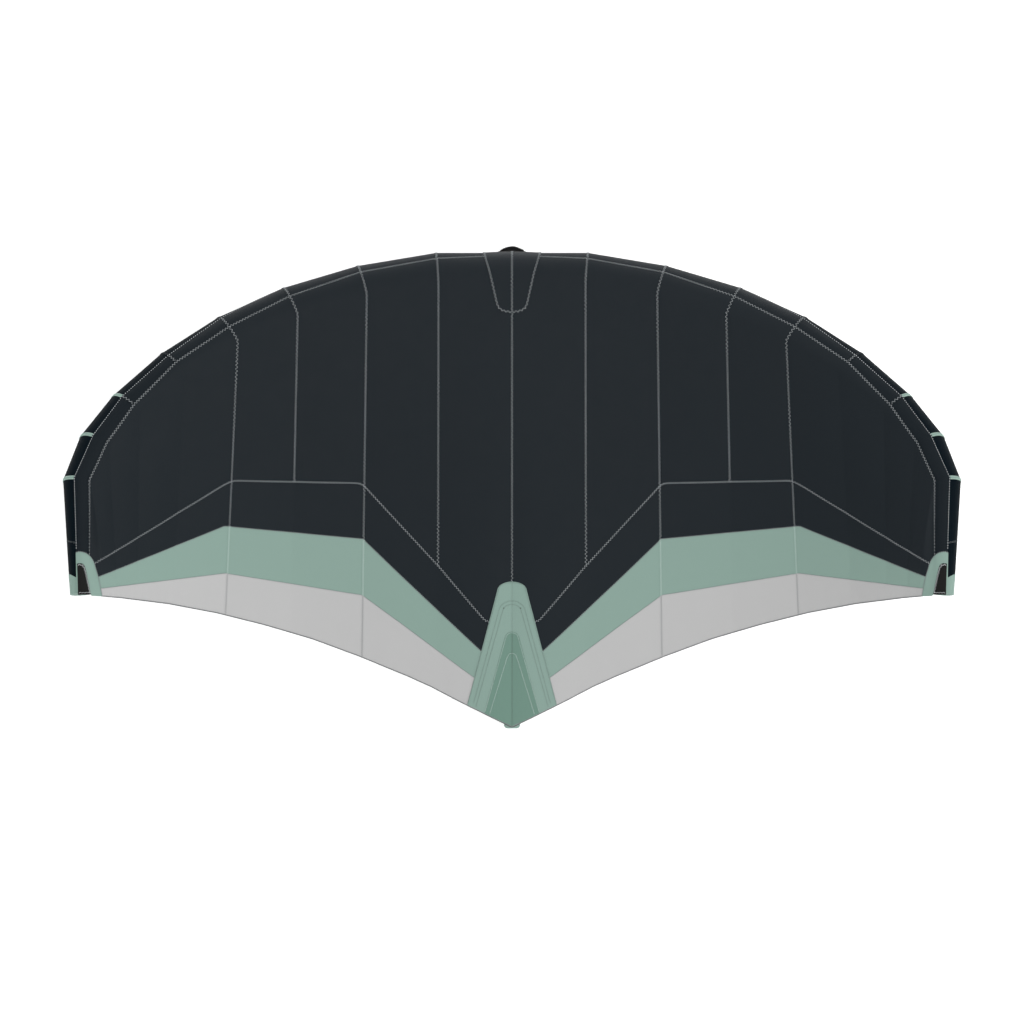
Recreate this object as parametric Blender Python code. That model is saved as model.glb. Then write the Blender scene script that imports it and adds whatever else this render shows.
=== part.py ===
# Inflatable hand wing for wing foiling, modelled as its sewn and moulded pieces.
# Metres, +Z up, +Y towards the leading edge, X along the span. The wing rests on the straight middle of its
# leading edge and on the tail of its strut; the origin is the centre of its footprint on the ground.
import math

import bmesh
import bpy
import numpy as np
from mathutils import Matrix, Vector

for ob in list(bpy.data.objects):
    bpy.data.objects.remove(ob, do_unlink=True)

# ------------------------------------------------------------------ driving dimensions
# Leading-edge tube: ten sewing stations from the centre (0) to the tip end (9).
LE_FRONT = [(0.0, 0.895), (0.293, 0.891), (0.587, 0.842), (0.870, 0.758), (1.117, 0.646),
            (1.332, 0.509), (1.516, 0.349), (1.640, 0.195), (1.706, 0.028), (1.680, -0.409)]   # outline in plan
LE_RADIUS = [0.122, 0.122, 0.1185, 0.112, 0.104, 0.095, 0.085, 0.074, 0.063, 0.042]
TUBE_SIDES = 20
REST_HEIGHT = LE_RADIUS[0] * math.cos(math.pi / TUBE_SIDES)      # axis height with a flat facet on the ground
LE_RISE = [0.0, 0.0, 0.016, 0.050, 0.098, 0.163, 0.238, 0.316, 0.388, 0.440]                   # dihedral of the axis
SEAM_DEG = [32.3, 38.5, 39.4, 49.3, 59.9, 66.5, 83.6, 104.5, 116.7, 132.0]   # where the canopy is sewn on, round the tube
LEAVE_DEG = [82.0, 83.0, 86.0, 90.0, 95.0, 101.0, 109.0, 117.0, 125.0, 136.0]  # where the canopy leaves the tube
TUBE_END = 8.84                   # the navy casing ends here, the gathered end piece goes on to 9
# Trailing edge.
TE_X = [0.0, 0.281, 0.570, 0.840, 1.089, 1.292, 1.425, 1.501, 1.535, 1.559]   # its point for each station
TE_CURVE = [(0.0, -0.9124), (0.031, -0.8964), (0.122, -0.8497), (0.213, -0.8041), (0.304, -0.7566), (0.395, -0.7167),
            (0.578, -0.6426), (0.760, -0.5761), (0.942, -0.5229), (1.125, -0.4773), (1.307, -0.4431),
            (1.490, -0.4203), (1.559, -0.4146)]
TE_HEIGHT = [0.0645, 0.076, 0.100, 0.145, 0.220, 0.330, 0.430, 0.492, 0.524, 0.556]
TE_SLOPE = [-0.24, -0.24, -0.22, -0.18, -0.12, -0.12, -0.20, -0.30, -0.50, -0.70]
# Colour boundaries of the canopy in plan.
BAND_FRONT = [(0.0, -0.727), (0.119, -0.616), (0.426, -0.329), (0.567, -0.195), (1.094, -0.147), (1.572, -0.340), (1.598, -0.412)]
BAND_REAR = [(0.0, -0.823), (0.146, -0.717), (0.426, -0.511), (0.570, -0.408), (1.091, -0.326), (1.564, -0.384), (1.581, -0.414)]
CLOTH = 0.0008                    # thickness of a cloth layer
SEW = 0.0004                      # gap at a sewn edge
CANOPY_OFF = 0.0015               # canopy's lower face over the tube
PATCH_OFF = 0.0039                # patches' lower face over the tube, so 1.6 mm over the canopy
HEM_WIDTH = 0.0045
# Centre strut: distance along Y and radius.
STRUT = [(0.600, 0.0775), (0.450, 0.0770), (0.250, 0.0740), (0.050, 0.0690), (-0.140, 0.0630), (-0.340, 0.0560),
         (-0.550, 0.0470), (-0.720, 0.0390), (-0.872, 0.0310)]
STRUT_FRONT_RADIUS = 0.0780
STRUT_SIDES = 16
STRUT_DROP = 0.0025               # strut's top below the canopy's lower face
TAIL_Y = -0.9162
# Handles.
GRIP_RADIUS = 0.015
FRONT_HANDLE = (0.535, 0.235, 0.076)     # front root y, rear root y, drop of the grip's axis below the pivot line
REAR_HANDLE = (0.115, -0.145, 0.058)
PIVOT_DROP = 0.0085               # pivot line below the strut's lowest line
NOSE_TILT = math.radians(30.0)    # nose handle points this far below the horizontal
NOSE_PIVOT = 0.0105               # pivot line outside the tube
NOSE_RISE = 0.0263                # further rise of the webbing at the middle
NOSE_HALF = 0.085
# Valve and hose.
VALVE_X, VALVE_TILT = 0.185, math.radians(25.0)
HOSE_X, HOSE_TILT = -0.155, math.radians(22.0)
HOSE_R, HOSE_BORE = 0.0085, 0.0055


# ------------------------------------------------------------------ materials
def material(name, rgb, rough, metal=0.0):
    m = bpy.data.materials.new(name)
    m.use_nodes = True
    b = m.node_tree.nodes["Principled BSDF"]
    b.inputs["Base Color"].default_value = (*[((c / 255 + 0.055) / 1.055) ** 2.4 if c > 10 else c / 255 / 12.92 for c in rgb], 1)
    b.inputs["Roughness"].default_value = rough
    b.inputs["Metallic"].default_value = metal
    m.diffuse_color = b.inputs["Base Color"].default_value
    return m


NAVY = material("navy_casing", (17, 24, 30), 0.6)
CHARCOAL = material("charcoal_cloth", (38, 43, 47), 0.65)
SAGE = material("sage_cloth", (146, 171, 162), 0.65)
DEEP_SAGE = material("deep_sage_cloth", (116, 147, 133), 0.65)
GREY = material("grey_cloth", (188, 188, 188), 0.65)
BLACK = material("black_webbing", (14, 14, 15), 0.8)
FOAM = material("black_foam", (22, 22, 23), 0.9)
FILM = material("bladder_film", (205, 208, 206), 0.35)
VALVE = material("valve_plastic", (32, 33, 35), 0.45)
VALVE_GREY = material("valve_grey", (150, 152, 154), 0.45)
HOSE = material("hose_rubber", (30, 31, 33), 0.6)
ZIP = material("zip_plastic", (24, 25, 27), 0.5)


# ------------------------------------------------------------------ the leading-edge tube as a surface
LEN = len(LE_FRONT)


def unit(v):
    v = np.asarray(v, float)
    return v / np.linalg.norm(v)


def tube_frames():
    p = [np.array(q) for q in LE_FRONT]
    seg = [unit(p[i + 1] - p[i]) for i in range(LEN - 1)]
    axis, out, sec = [], [], []
    for i in range(LEN):
        if i == 0:
            d, s = np.array([1.0, 0.0]), 1.0
        elif i == LEN - 1:
            d, s = seg[-1], 1.0
        else:
            d = unit(seg[i - 1] + seg[i])
            s = 1.0 / float(d @ seg[i])
        o = np.array([-d[1], d[0]])
        q = p[i] - o * LE_RADIUS[i] * s
        axis.append([q[0], q[1], REST_HEIGHT + LE_RISE[i]])
        out.append([o[0], o[1], 0.0])
        sec.append(s)
    axis, out = np.array(axis), np.array(out)
    axis[0, 1] = axis[1, 1]          # the middle length is straight
    run = [unit(axis[i + 1] - axis[i]) for i in range(LEN - 1)]
    up = []
    for i in range(LEN):
        d = np.array([1.0, 0, 0]) if i == 0 else run[-1] if i == LEN - 1 else run[i - 1] + run[i]
        d = unit(d - out[i] * (d @ out[i]))
        u = np.cross(d, out[i])
        up.append(u if u[2] > 0 else -u)
    return axis, out, np.array(up), sec


AXIS, OUT, UP, SEC = tube_frames()
# the first sewing station keeps its ring square to the middle length on that side
OUT[1] = np.array([0.0, 1.0, 0.0]) * 0.35 + OUT[1] * 0.65
OUT[1] /= np.linalg.norm(OUT[1])


def at(table, u):
    k = min(int(u), LEN - 2)
    return table[k] * (1 - (u - k)) + table[k + 1] * (u - k)


def ring_point(k, deg, off=0.0):
    t = math.radians(deg)
    return AXIS[k] + (LE_RADIUS[k] + off) * (math.cos(t) * SEC[k] * OUT[k] + math.sin(t) * UP[k])


def tube(u, deg, off=0.0):
    """Point of the tube: u is the station, deg goes round from the outer side (0) over the top (90) to the inside."""
    k = min(int(u), LEN - 2)
    f = u - k
    return ring_point(k, deg, off) * (1 - f) + ring_point(k + 1, deg, off) * f


def tube_normal(u, deg):
    k = min(int(u), LEN - 2)
    f, t = u - k, math.radians(deg)
    return unit((math.cos(t) * OUT[k] + math.sin(t) * UP[k]) * (1 - f) + (math.cos(t) * OUT[k + 1] + math.sin(t) * UP[k + 1]) * f)


# ------------------------------------------------------------------ the canopy as a surface
def te_point(u):
    x = at(TE_X, u)
    return np.array([x, np.interp(x, [p[0] for p in TE_CURVE], [p[1] for p in TE_CURVE]), np.interp(x, TE_X, TE_HEIGHT)])


def canopy_raw(u, v):
    """Free cloth: v runs from the line where it leaves the tube (0) to the trailing edge (1)."""
    deg = at(LEAVE_DEG, u)
    a, b = tube(u, deg, CANOPY_OFF), te_point(u)
    g = (b - a)[:2]
    length = np.linalg.norm(g)
    g = g / length
    n = tube_normal(u, deg)
    start, end = -(n[0] * g[0] + n[1] * g[1]) / n[2], at(TE_SLOPE, u)
    h = v * v * (3 - 2 * v)
    z = a[2] * (1 - h) + b[2] * h + length * (start * (v - 2 * v * v + v ** 3) + end * (v ** 3 - v * v))
    return np.array([a[0] + g[0] * length * v, a[1] + g[1] * length * v, z])


def canopy(u, v, off=0.0):
    if off == 0.0:
        return canopy_raw(u, v)
    e = 1e-3
    du = canopy_raw(min(u + e, 9), v) - canopy_raw(max(u - e, 0), v)
    dv = canopy_raw(u, min(v + e, 1)) - canopy_raw(u, max(v - e, 0))
    n = unit(np.cross(dv, du))
    return canopy_raw(u, v) + (n if n[2] > 0 else -n) * off


def chord(u):
    return np.linalg.norm((te_point(u) - canopy_raw(u, 0))[:2])


def cross_at(u, line):
    """v where the fan line of u crosses a polyline in plan."""
    a, b = canopy_raw(u, 0)[:2], te_point(u)[:2]
    for p, q in zip(line[:-1], line[1:]):
        p, q = np.array(p), np.array(q)
        m = np.array([b - a, p - q]).T
        if abs(np.linalg.det(m)) < 1e-12:
            continue
        s, t = np.linalg.solve(m, p - a)
        if -1e-6 <= t <= 1 + 1e-6 and -0.2 < s < 1.2:
            return float(min(max(s, 0.02), 0.985))
    raise ValueError("no crossing at " + str(u))


def fan_of(x, y):
    """(u, v) of a plan point on the free canopy."""
    lo, hi = 0.0, 9.0
    x = abs(x)

    def side(u):
        a, b = canopy_raw(u, 0)[:2], te_point(u)[:2]
        return (b[0] - a[0]) * (y - a[1]) - (b[1] - a[1]) * (x - a[0])
    if side(0.0) <= 0:
        hi = 0.0
    for _ in range(40):
        m = (lo + hi) / 2
        if side(m) > 0:
            lo = m
        else:
            hi = m
    u = (lo + hi) / 2
    a, b = canopy_raw(u, 0)[:2], te_point(u)[:2]
    g = b - a
    return u, float(((x - a[0]) * g[0] + (y - a[1]) * g[1]) / (g @ g))


def on_canopy(x, y, off=0.0):
    """Point over the plan position (x, y), on the cloth or on the part of it that wraps the middle of the tube."""
    s = -1.0 if x < 0 else 1.0
    u, v = fan_of(x, y)
    if v < 0:
        r = LE_RADIUS[0] + CANOPY_OFF
        c = min(max((y - AXIS[0][1]) / r, -1), 1)
        deg = math.degrees(math.acos(c))
        p = tube(min(abs(x) / LE_FRONT[1][0], 1.0), deg, CANOPY_OFF + off)
        return np.array([x, p[1], p[2]])
    p = canopy(u, v, off)
    return np.array([s * p[0], p[1], p[2]])


# ------------------------------------------------------------------ mesh helpers
def link(name, mesh, mat):
    mesh.materials.append(mat)
    ob = bpy.data.objects.new(name, mesh)
    bpy.context.scene.collection.objects.link(ob)
    return ob


def smooth(ob, deg=35):
    ob.data.shade_smooth()
    ob.data.set_sharp_from_angle(angle=math.radians(deg))
    return ob


def skin(name, grid, mat, toward, thickness=CLOTH, inward=False, wrap=False, pole=None, mirror=False):
    """A cloth or film layer: a surface over a grid of points, thickened by a Solidify modifier.
    toward is roughly the outward direction at the middle of the grid; wrap joins the last column to the first."""
    rows, cols = len(grid), len(grid[0])
    verts = [tuple(p) for r in grid for p in r]
    faces = []
    for i in range(rows - 1):
        for j in range(cols if wrap else cols - 1):
            a, b = i * cols + j, i * cols + (j + 1) % cols
            c, d = (i + 1) * cols + (j + 1) % cols, (i + 1) * cols + j
            faces += [(a, b, c), (a, c, d)]
    if pole is not None:
        verts.append(tuple(pole))
        last = (rows - 1) * cols
        faces += [(last + j, last + (j + 1) % cols, len(verts) - 1) for j in range(cols)]
    mid = faces[(rows // 2) * 2 * (cols if wrap else cols - 1) % len(faces)] if wrap else faces[len(faces) // 2]
    a, b, c = (np.array(verts[k]) for k in mid)
    if np.cross(b - a, c - a) @ np.asarray(toward(a) if callable(toward) else toward, float) < 0:
        faces = [f[::-1] for f in faces]
    if mirror:
        verts = [(-x, y, z) for x, y, z in verts]
        faces = [f[::-1] for f in faces]
    mesh = bpy.data.meshes.new(name)
    mesh.from_pydata(verts, [], faces)
    ob = link(name, mesh, mat)
    m = ob.modifiers.new("cloth", "SOLIDIFY")
    m.thickness, m.offset, m.use_rim = thickness, (-1.0 if inward else 1.0), True
    return smooth(ob, 50)


def pair(name, make):
    """Right-hand piece and its mirror image on the left."""
    return make(name + "_R", False), make(name + "_L", True)


def solid(name, rings, mat, hollow=None, deg=35):
    """Closed body through rings of points, with flat end caps; hollow adds an inner set of rings, open at both ends."""
    bm = bmesh.new()
    loops = [[bm.verts.new(tuple(p)) for p in r] for r in rings]
    for a, b in zip(loops[:-1], loops[1:]):
        n = len(a)
        for j in range(n):
            bm.faces.new((a[j], a[(j + 1) % n], b[(j + 1) % n], b[j]))
    if hollow is None:
        bm.faces.new(loops[0])
        bm.faces.new(loops[-1])
    else:
        inner = [[bm.verts.new(tuple(p)) for p in r] for r in hollow]
        for a, b in zip(inner[:-1], inner[1:]):
            n = len(a)
            for j in range(n):
                bm.faces.new((a[j], b[j], b[(j + 1) % n], a[(j + 1) % n]))
        for o, i in ((loops[0], inner[0]), (loops[-1], inner[-1])):
            n = len(o)
            for j in range(n):
                bm.faces.new((o[j], o[(j + 1) % n], i[(j + 1) % n], i[j]))
    bmesh.ops.triangulate(bm, faces=bm.faces[:])
    bmesh.ops.recalc_face_normals(bm, faces=bm.faces[:])
    mesh = bpy.data.meshes.new(name)
    bm.to_mesh(mesh)
    bm.free()
    return smooth(link(name, mesh, mat), deg)


def frame_at(origin, axis, across):
    """Matrix whose Z is the axis and whose X is as near to across as it can be."""
    z = Vector(axis).normalized()
    x = Vector(across)
    x = (x - z * x.dot(z)).normalized()
    m = Matrix((x, z.cross(x), z)).transposed().to_4x4()
    m.translation = Vector(origin)
    return m


def turned(name, profile, mat, matrix, steps=24, ring=False, deg=35):
    """Turned part: the (radius, height) profile is spun about local Z. ring closes the profile on itself."""
    bm = bmesh.new()
    vs = [bm.verts.new((r, 0, h)) for r, h in profile]
    es = [bm.edges.new((vs[i], vs[i + 1])) for i in range(len(vs) - 1)]
    if ring:
        es.append(bm.edges.new((vs[-1], vs[0])))
    bmesh.ops.spin(bm, geom=vs + es, cent=(0, 0, 0), axis=(0, 0, 1), angle=2 * math.pi, steps=steps, use_merge=True)
    bmesh.ops.remove_doubles(bm, verts=bm.verts[:], dist=1e-6)
    bmesh.ops.recalc_face_normals(bm, faces=bm.faces[:])
    bmesh.ops.triangulate(bm, faces=bm.faces[:])
    mesh = bpy.data.meshes.new(name)
    bm.to_mesh(mesh)
    bm.free()
    ob = link(name, mesh, mat)
    ob.matrix_world = matrix
    return smooth(ob, deg)


def cutter(name, radius, length, matrix, sides=28):
    bm = bmesh.new()
    bmesh.ops.create_cone(bm, cap_ends=True, segments=sides, radius1=radius, radius2=radius, depth=length)
    mesh = bpy.data.meshes.new(name)
    bm.to_mesh(mesh)
    bm.free()
    ob = bpy.data.objects.new(name, mesh)
    bpy.context.scene.collection.objects.link(ob)
    ob.matrix_world = matrix
    ob.hide_render, ob.display_type = True, "WIRE"
    return ob


def cut(ob, tool, operation="DIFFERENCE"):
    m = ob.modifiers.new(tool.name, "BOOLEAN")
    m.operation, m.object, m.solver = operation, tool, "EXACT"


def block(name, low, high, matrix):
    """Box that another piece is joined with."""
    bm = bmesh.new()
    bmesh.ops.create_cube(bm, size=1.0)
    for v in bm.verts:
        v.co = Vector([(l + h) / 2 + c * (h - l) for l, h, c in zip(low, high, v.co)])
    mesh = bpy.data.meshes.new(name)
    bm.to_mesh(mesh)
    bm.free()
    ob = bpy.data.objects.new(name, mesh)
    bpy.context.scene.collection.objects.link(ob)
    ob.matrix_world = matrix
    ob.hide_render, ob.display_type = True, "WIRE"
    return ob


def put_origin(ob, point):
    """The origin of a moving piece lies on its joint's axis."""
    target = Matrix.Translation(Vector(point))
    ob.data.transform(target.inverted() @ ob.matrix_world)
    ob.matrix_world = target
    return ob


def capped(name, rows, pole_a, pole_b, film, turned_rows=0):
    """Closed bladder: rings of points with a pole at each end, thickened inwards.
    The first rows can take the other diagonal, so that mirrored halves match."""
    verts, faces = [tuple(p) for r in rows for p in r], []
    n = len(rows[0])
    for i in range(len(rows) - 1):
        for j in range(n):
            a, b, c, d = i * n + j, i * n + (j + 1) % n, (i + 1) * n + (j + 1) % n, (i + 1) * n + j
            faces += [(a, b, d), (b, c, d)] if i < turned_rows else [(a, b, c), (a, c, d)]
    verts += [tuple(pole_a), tuple(pole_b)]
    last = (len(rows) - 1) * n
    for j in range(n):
        faces.append(((j + 1) % n, j, len(verts) - 2))
        faces.append((last + j, last + (j + 1) % n, len(verts) - 1))
    bm = bmesh.new()
    vs = [bm.verts.new(v) for v in verts]
    for f in faces:
        bm.faces.new([vs[k] for k in f])
    bmesh.ops.recalc_face_normals(bm, faces=bm.faces[:])
    mesh = bpy.data.meshes.new(name)
    bm.to_mesh(mesh)
    bm.free()
    ob = link(name, mesh, FILM)
    m = ob.modifiers.new("film", "SOLIDIFY")
    m.thickness, m.offset, m.use_rim = film, -1.0, True
    return smooth(ob, 50)


# ------------------------------------------------------------------ leading-edge casing and bladder
HALF_STEP = 180.0 / TUBE_SIDES
TUBE_DEGS = [-90 + HALF_STEP + 360.0 / TUBE_SIDES * j for j in range(TUBE_SIDES)]


def tube_rows(stations, off=0.0):
    return [[tube(u, d, off) for d in TUBE_DEGS] for u in stations]


def near(u, sign):
    """Station moved off a sewn joint by half the gap."""
    k = min(int(u if sign > 0 else u - 1e-9), LEN - 2)
    return u + sign * SEW / 2 / np.linalg.norm(AXIS[k + 1] - AXIS[k])


def radial(u):
    return lambda p: np.asarray(p) - at(AXIS, u)


def mirrored(rows):
    return [[np.array([-p[0], p[1], p[2]]) for p in r] for r in rows]


def behind_tube(x, tilt):
    """Frame on the back of the tube's middle length: local Z points out of the tube, tilted down."""
    d = np.array([0.0, -math.cos(tilt), -math.sin(tilt)])
    c = np.array([x, AXIS[0][1], REST_HEIGHT])
    return frame_at(c + d * LE_RADIUS[0] * math.cos(math.pi / TUBE_SIDES / 2), d, (1, 0, 0)), c, d


right = tube_rows([near(1, -1)])
left = mirrored(right)
sleeve_center = skin("le_sleeve_center", [left[0], right[0]], NAVY, lambda p: np.asarray(p) - np.array([p[0], AXIS[0][1], REST_HEIGHT]), inward=True, wrap=True)
for part_name, stations in (("le_sleeve_inner", (1, 2, 3)), ("le_sleeve_mid", (3, 4, 5)), ("le_sleeve_outer", (5, 6, 7)), ("le_sleeve_tip", (7, 8, TUBE_END))):
    us = [near(stations[0], 1), stations[1], near(stations[2], -1)]
    # the grid's middle triangle lies on the second span, at the first angle
    pair(part_name, lambda n, m, us=us: skin(n, tube_rows(us), NAVY, radial(us[1]), inward=True, wrap=True, mirror=m))
us = [near(TUBE_END, 1), 8.93, 9.0]
pair("le_tip_end", lambda n, m: skin(n, tube_rows(us) + [[AXIS[9] * 0.45 + tube(9.0, d) * 0.55 for d in TUBE_DEGS]], SAGE, radial(8.93), inward=True, wrap=True,
                                     pole=AXIS[9], mirror=m))

BLADDER_IN = -0.0035
bladder_rows = tube_rows([0.999, 2, 3, 4, 5, 6, 7, 8, 8.80], BLADDER_IN)
bladder_end = at(AXIS, 8.80)
bladder_rows.append([(bladder_end + p) / 2 for p in bladder_rows[-1]])
le_bladder = capped("le_bladder", mirrored(bladder_rows)[::-1] + bladder_rows, (-bladder_end[0], bladder_end[1], bladder_end[2]), bladder_end, 0.0006,
                    turned_rows=len(bladder_rows))

# ------------------------------------------------------------------ strut
CENTRE = [(y, canopy_raw(0.0, fan_of(0.0, y)[1])[2]) for y in np.linspace(0.77, -0.912, 60)]


def under_canopy(y):
    return float(np.interp(-y, [-q[0] for q in CENTRE], [q[1] for q in CENTRE]))


def strut_radius(y):
    pts = [(0.700, STRUT_FRONT_RADIUS)] + STRUT + [(TAIL_Y, 0.0310)]
    return float(np.interp(-y, [-p[0] for p in pts], [p[1] for p in pts]))


def strut_axis(y):
    """Height of the strut's axis: straight between its sewing stations, its top just under the canopy."""
    ys = [p[0] for p in STRUT]
    zs = [under_canopy(p[0]) - STRUT_DROP - p[1] for p in STRUT]
    ys, zs = [0.700] + ys + [TAIL_Y], [under_canopy(0.70) - STRUT_DROP - STRUT_FRONT_RADIUS] + zs + [0.0310]
    zs[-2] = 0.0310
    return float(np.interp(-y, [-q for q in ys], zs))


def strut_point(y, deg, off=0.0):
    t, r = math.radians(deg), strut_radius(y) + off
    return np.array([r * math.cos(t), y, strut_axis(y) + r * math.sin(t)])


STRUT_DEGS = [-90 + 360.0 / STRUT_SIDES * j for j in range(STRUT_SIDES)]


def strut_front_ring(off, gap):
    """The front end is cut to a saddle that fits round the leading edge."""
    pts = []
    for d in STRUT_DEGS:
        p = strut_point(0.66, d, off)
        h = min(p[2] - REST_HEIGHT, 0.086)
        y = AXIS[0][1] - math.sqrt(max((LE_RADIUS[0] + gap) ** 2 - h * h, 0.0))
        top = under_canopy(y) - STRUT_DROP + off
        pts.append(np.array([p[0], y, min(p[2], top)]))
    return pts


strut_rows = [strut_front_ring(0.0, 0.0022)] + [[strut_point(y, d) for d in STRUT_DEGS] for y, _ in STRUT]
strut_sleeve = skin("strut_sleeve", strut_rows, NAVY, lambda p: np.asarray(p) - np.array([0, p[1], strut_axis(p[1])]), inward=True, wrap=True)
bladder_front = [p + np.array([0.0, -0.006, 0.0]) for p in strut_front_ring(-0.0035, 0.0022)]
front_centre = np.array([0.0, AXIS[0][1] - 0.130, strut_axis(0.66)])
dome = [(p + front_centre) / 2 for p in bladder_front]
for p in dome:
    p[1] = min(p[1], AXIS[0][1] - math.sqrt((LE_RADIUS[0] + 0.008) ** 2 - (p[2] - REST_HEIGHT) ** 2))
strut_bladder = capped("strut_bladder", [dome, bladder_front] + [[strut_point(y, d, -0.0035) for d in STRUT_DEGS] for y in [p[0] for p in STRUT[:-1]] + [-0.860]],
                       front_centre, (0, -0.862, strut_axis(-0.862)), 0.0006)

# strut end: a cup with a rounded end, its open mouth against the casing
tail_rows = []
for y, k in ((-0.8724, 1.0), (-0.895, 1.0), (-0.9075, 0.96), (-0.9135, 0.84), (TAIL_Y, 0.55)):
    c = np.array([0.0, y, 0.0310])
    tail_rows.append([c + np.array([0.0310 * k * math.cos(math.radians(d)), 0, 0.0310 * k * math.sin(math.radians(d))]) for d in STRUT_DEGS])
skin("strut_tail_end", tail_rows, SAGE, lambda p: np.asarray(p) - np.array([0, p[1], 0.0310]), inward=True, wrap=True,
     pole=(0, TAIL_Y, 0.0310), thickness=0.0010)

# ------------------------------------------------------------------ canopy panels
WRAP_ROWS = 4


def panel_us(lo, hi, steps):
    us = list(np.linspace(lo, hi, steps + 1))
    us[0] += 0.0007
    us[-1] -= 0.0007
    if lo == 0:
        us[0] = 0.0007
    if hi == 9:
        us[-1] = 9.0
    return us


SPANS = (("center", panel_us(0, 2, 4)), ("mid", panel_us(2, 4, 4)),
         ("tip", [4.0007, 4.5, 5, 5.5, 6, 6.5, 7, 7.5, 8, 8.4, 8.6, 8.76, 8.88, 9.0]))


def gap_v(u):
    return SEW / 2 / chord(u)


for label, us in SPANS:
    main, band, rear = [], [], []
    for u in us:
        v1, v2 = cross_at(u, BAND_FRONT), cross_at(u, BAND_REAR)
        v2 = max(v2, v1 + 0.02)
        g, hem = gap_v(u), HEM_WIDTH / chord(u)
        seam, leave = at(SEAM_DEG, u), at(LEAVE_DEG, u)
        col = [tube(u, seam + (leave - seam) * k / WRAP_ROWS, CANOPY_OFF) for k in range(WRAP_ROWS)]
        rows = 9
        col += [canopy_raw(u, (v1 - g) * k / rows) for k in range(rows + 1)]
        main.append(col)
        band.append([canopy_raw(u, v1 + g + (v2 - v1 - 2 * g) * k / 2) for k in range(3)])
        rear.append([canopy_raw(u, v2 + g + (1 - hem - v2 - g) * k / 3) for k in range(4)])
    pair("canopy_" + label, lambda n, m, g=main: skin(n, g, CHARCOAL, (0, 0, 1), mirror=m))
    pair("band_" + label, lambda n, m, g=band: skin(n, g, SAGE, (0, 0, 1), mirror=m))
    pair("rear_" + label, lambda n, m, g=rear: skin(n, g, GREY, (0, 0, 1), mirror=m))

hem_us = SPANS[0][1] + SPANS[1][1][1:] + SPANS[2][1][1:]


def hem(n, m):
    grid = []
    for u in hem_us:
        c = chord(u)
        a, b = canopy_raw(u, 1 - (HEM_WIDTH - SEW) / c), canopy_raw(u, 1.0)
        drop = np.array([0, 0, -0.0004])
        grid.append([a + drop, b + drop])
    return skin(n, grid, BLACK, (0, 0, 1), thickness=0.0016, mirror=m)


pair("trailing_edge_hem", hem)

# ------------------------------------------------------------------ reinforcements over the canopy


def nose_patch():
    """Apron from under the nose over the tube and back to a rounded end on the canopy."""
    rows, off = [], PATCH_OFF - CANOPY_OFF
    cols = [-1, -0.5, 0, 0.5, 1]
    for deg in range(-46, 84, 10):
        w = 0.110 if deg < 34 else float(np.interp(-tube(0, deg)[1], [-0.874, -0.704], [0.110, 0.0646]))
        rows.append([np.array([c * w, *tube(0, deg, PATCH_OFF)[1:]]) for c in cols])
    y0 = rows[-1][0][1]
    for y, w in ((0.735, 0.074), (0.708, 0.0646), (0.692, 0.059), (0.6791, 0.052), (0.671, 0.040), (0.6665, 0.026)):
        if y < y0 - 0.004:
            rows.append([on_canopy(c * w, y, off) for c in cols])
    return skin("nose_patch", rows, CHARCOAL, (0, 0, 1))


nose_patch()


def tapered_patch(name, mat, half_bottom, bottom_y, half_top, side_y, top_y, off, cols):
    """Wedge on the centre line that widens to the trailing edge, with a rounded front end."""
    grid = []
    fr = [k / 3.0 for k in range(4)] if top_y - bottom_y < 0.36 else [k / 5.0 for k in range(6)]
    for a in cols:
        xt = a * half_top
        yt = side_y + (top_y - side_y) * math.sqrt(max(1 - a * a, 0)) if abs(a) < 1 else side_y
        xb = a * half_bottom
        yb = np.interp(abs(xb), [p[0] for p in TE_CURVE], [p[1] for p in TE_CURVE]) + 0.0055
        grid.append([on_canopy(xt + (xb - xt) * f, yt + (yb - yt) * f, off) for f in fr])
    return skin(name, grid, mat, (0, 0, 1))


tapered_patch("tail_patch", SAGE, 0.170, -0.8185, 0.0578, -0.3838, -0.3572, PATCH_OFF - CANOPY_OFF, [-1, -0.75, -0.5, -0.25, 0, 0.25, 0.5, 0.75, 1])
tapered_patch("tail_patch_inner", DEEP_SAGE, 0.104, -0.853, 0.0247, -0.5647, -0.5518, 2 * PATCH_OFF - CANOPY_OFF - 0.0015, [-1, -0.5, 0, 0.5, 1])

TIP_EDGE = [(1.652, -0.243), (1.625, -0.250), (1.594, -0.276), (1.581, -0.309), (1.572, -0.342), (1.564, -0.385), (1.5595, -0.4135)]


def tip_strip(u, deg0, v1, off, n_wrap, n_free):
    """Points across the tip from the tube's outer side to the canopy."""
    leave = at(LEAVE_DEG, u)
    pts = [tube(u, deg0 + (leave - deg0) * k / n_wrap, off) for k in range(n_wrap)]
    return pts + [canopy(u, v1 * k / n_free, off - CANOPY_OFF) for k in range(n_free + 1)]


def tip_patch(n, m):
    grid = []
    for k, u in enumerate((8.64, 8.67, 8.71, 8.76, 8.82, 8.88, 8.94, 8.995)):
        vmax = (0.10, 0.30, 0.50, 0.66, 0.77, 0.86, 0.92, 0.955)[k]
        grid.append(tip_strip(u, 70.0, vmax * (cross_tip(u)), PATCH_OFF, 5, 8))
    return skin(n, grid, SAGE, (0, 0, 1), mirror=m)


def cross_tip(u):
    a, b = canopy_raw(u, 0)[:2], te_point(u)[:2]
    for p, q in zip(TIP_EDGE[:-1], TIP_EDGE[1:]):
        p, q = np.array(p), np.array(q)
        mm = np.array([b - a, p - q]).T
        s, t = np.linalg.solve(mm, p - a)
        if 0 <= t <= 1 and 0 < s < 1.3:
            return float(min(s, 1.0))
    return 1.0


pair("tip_patch", tip_patch)


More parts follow.
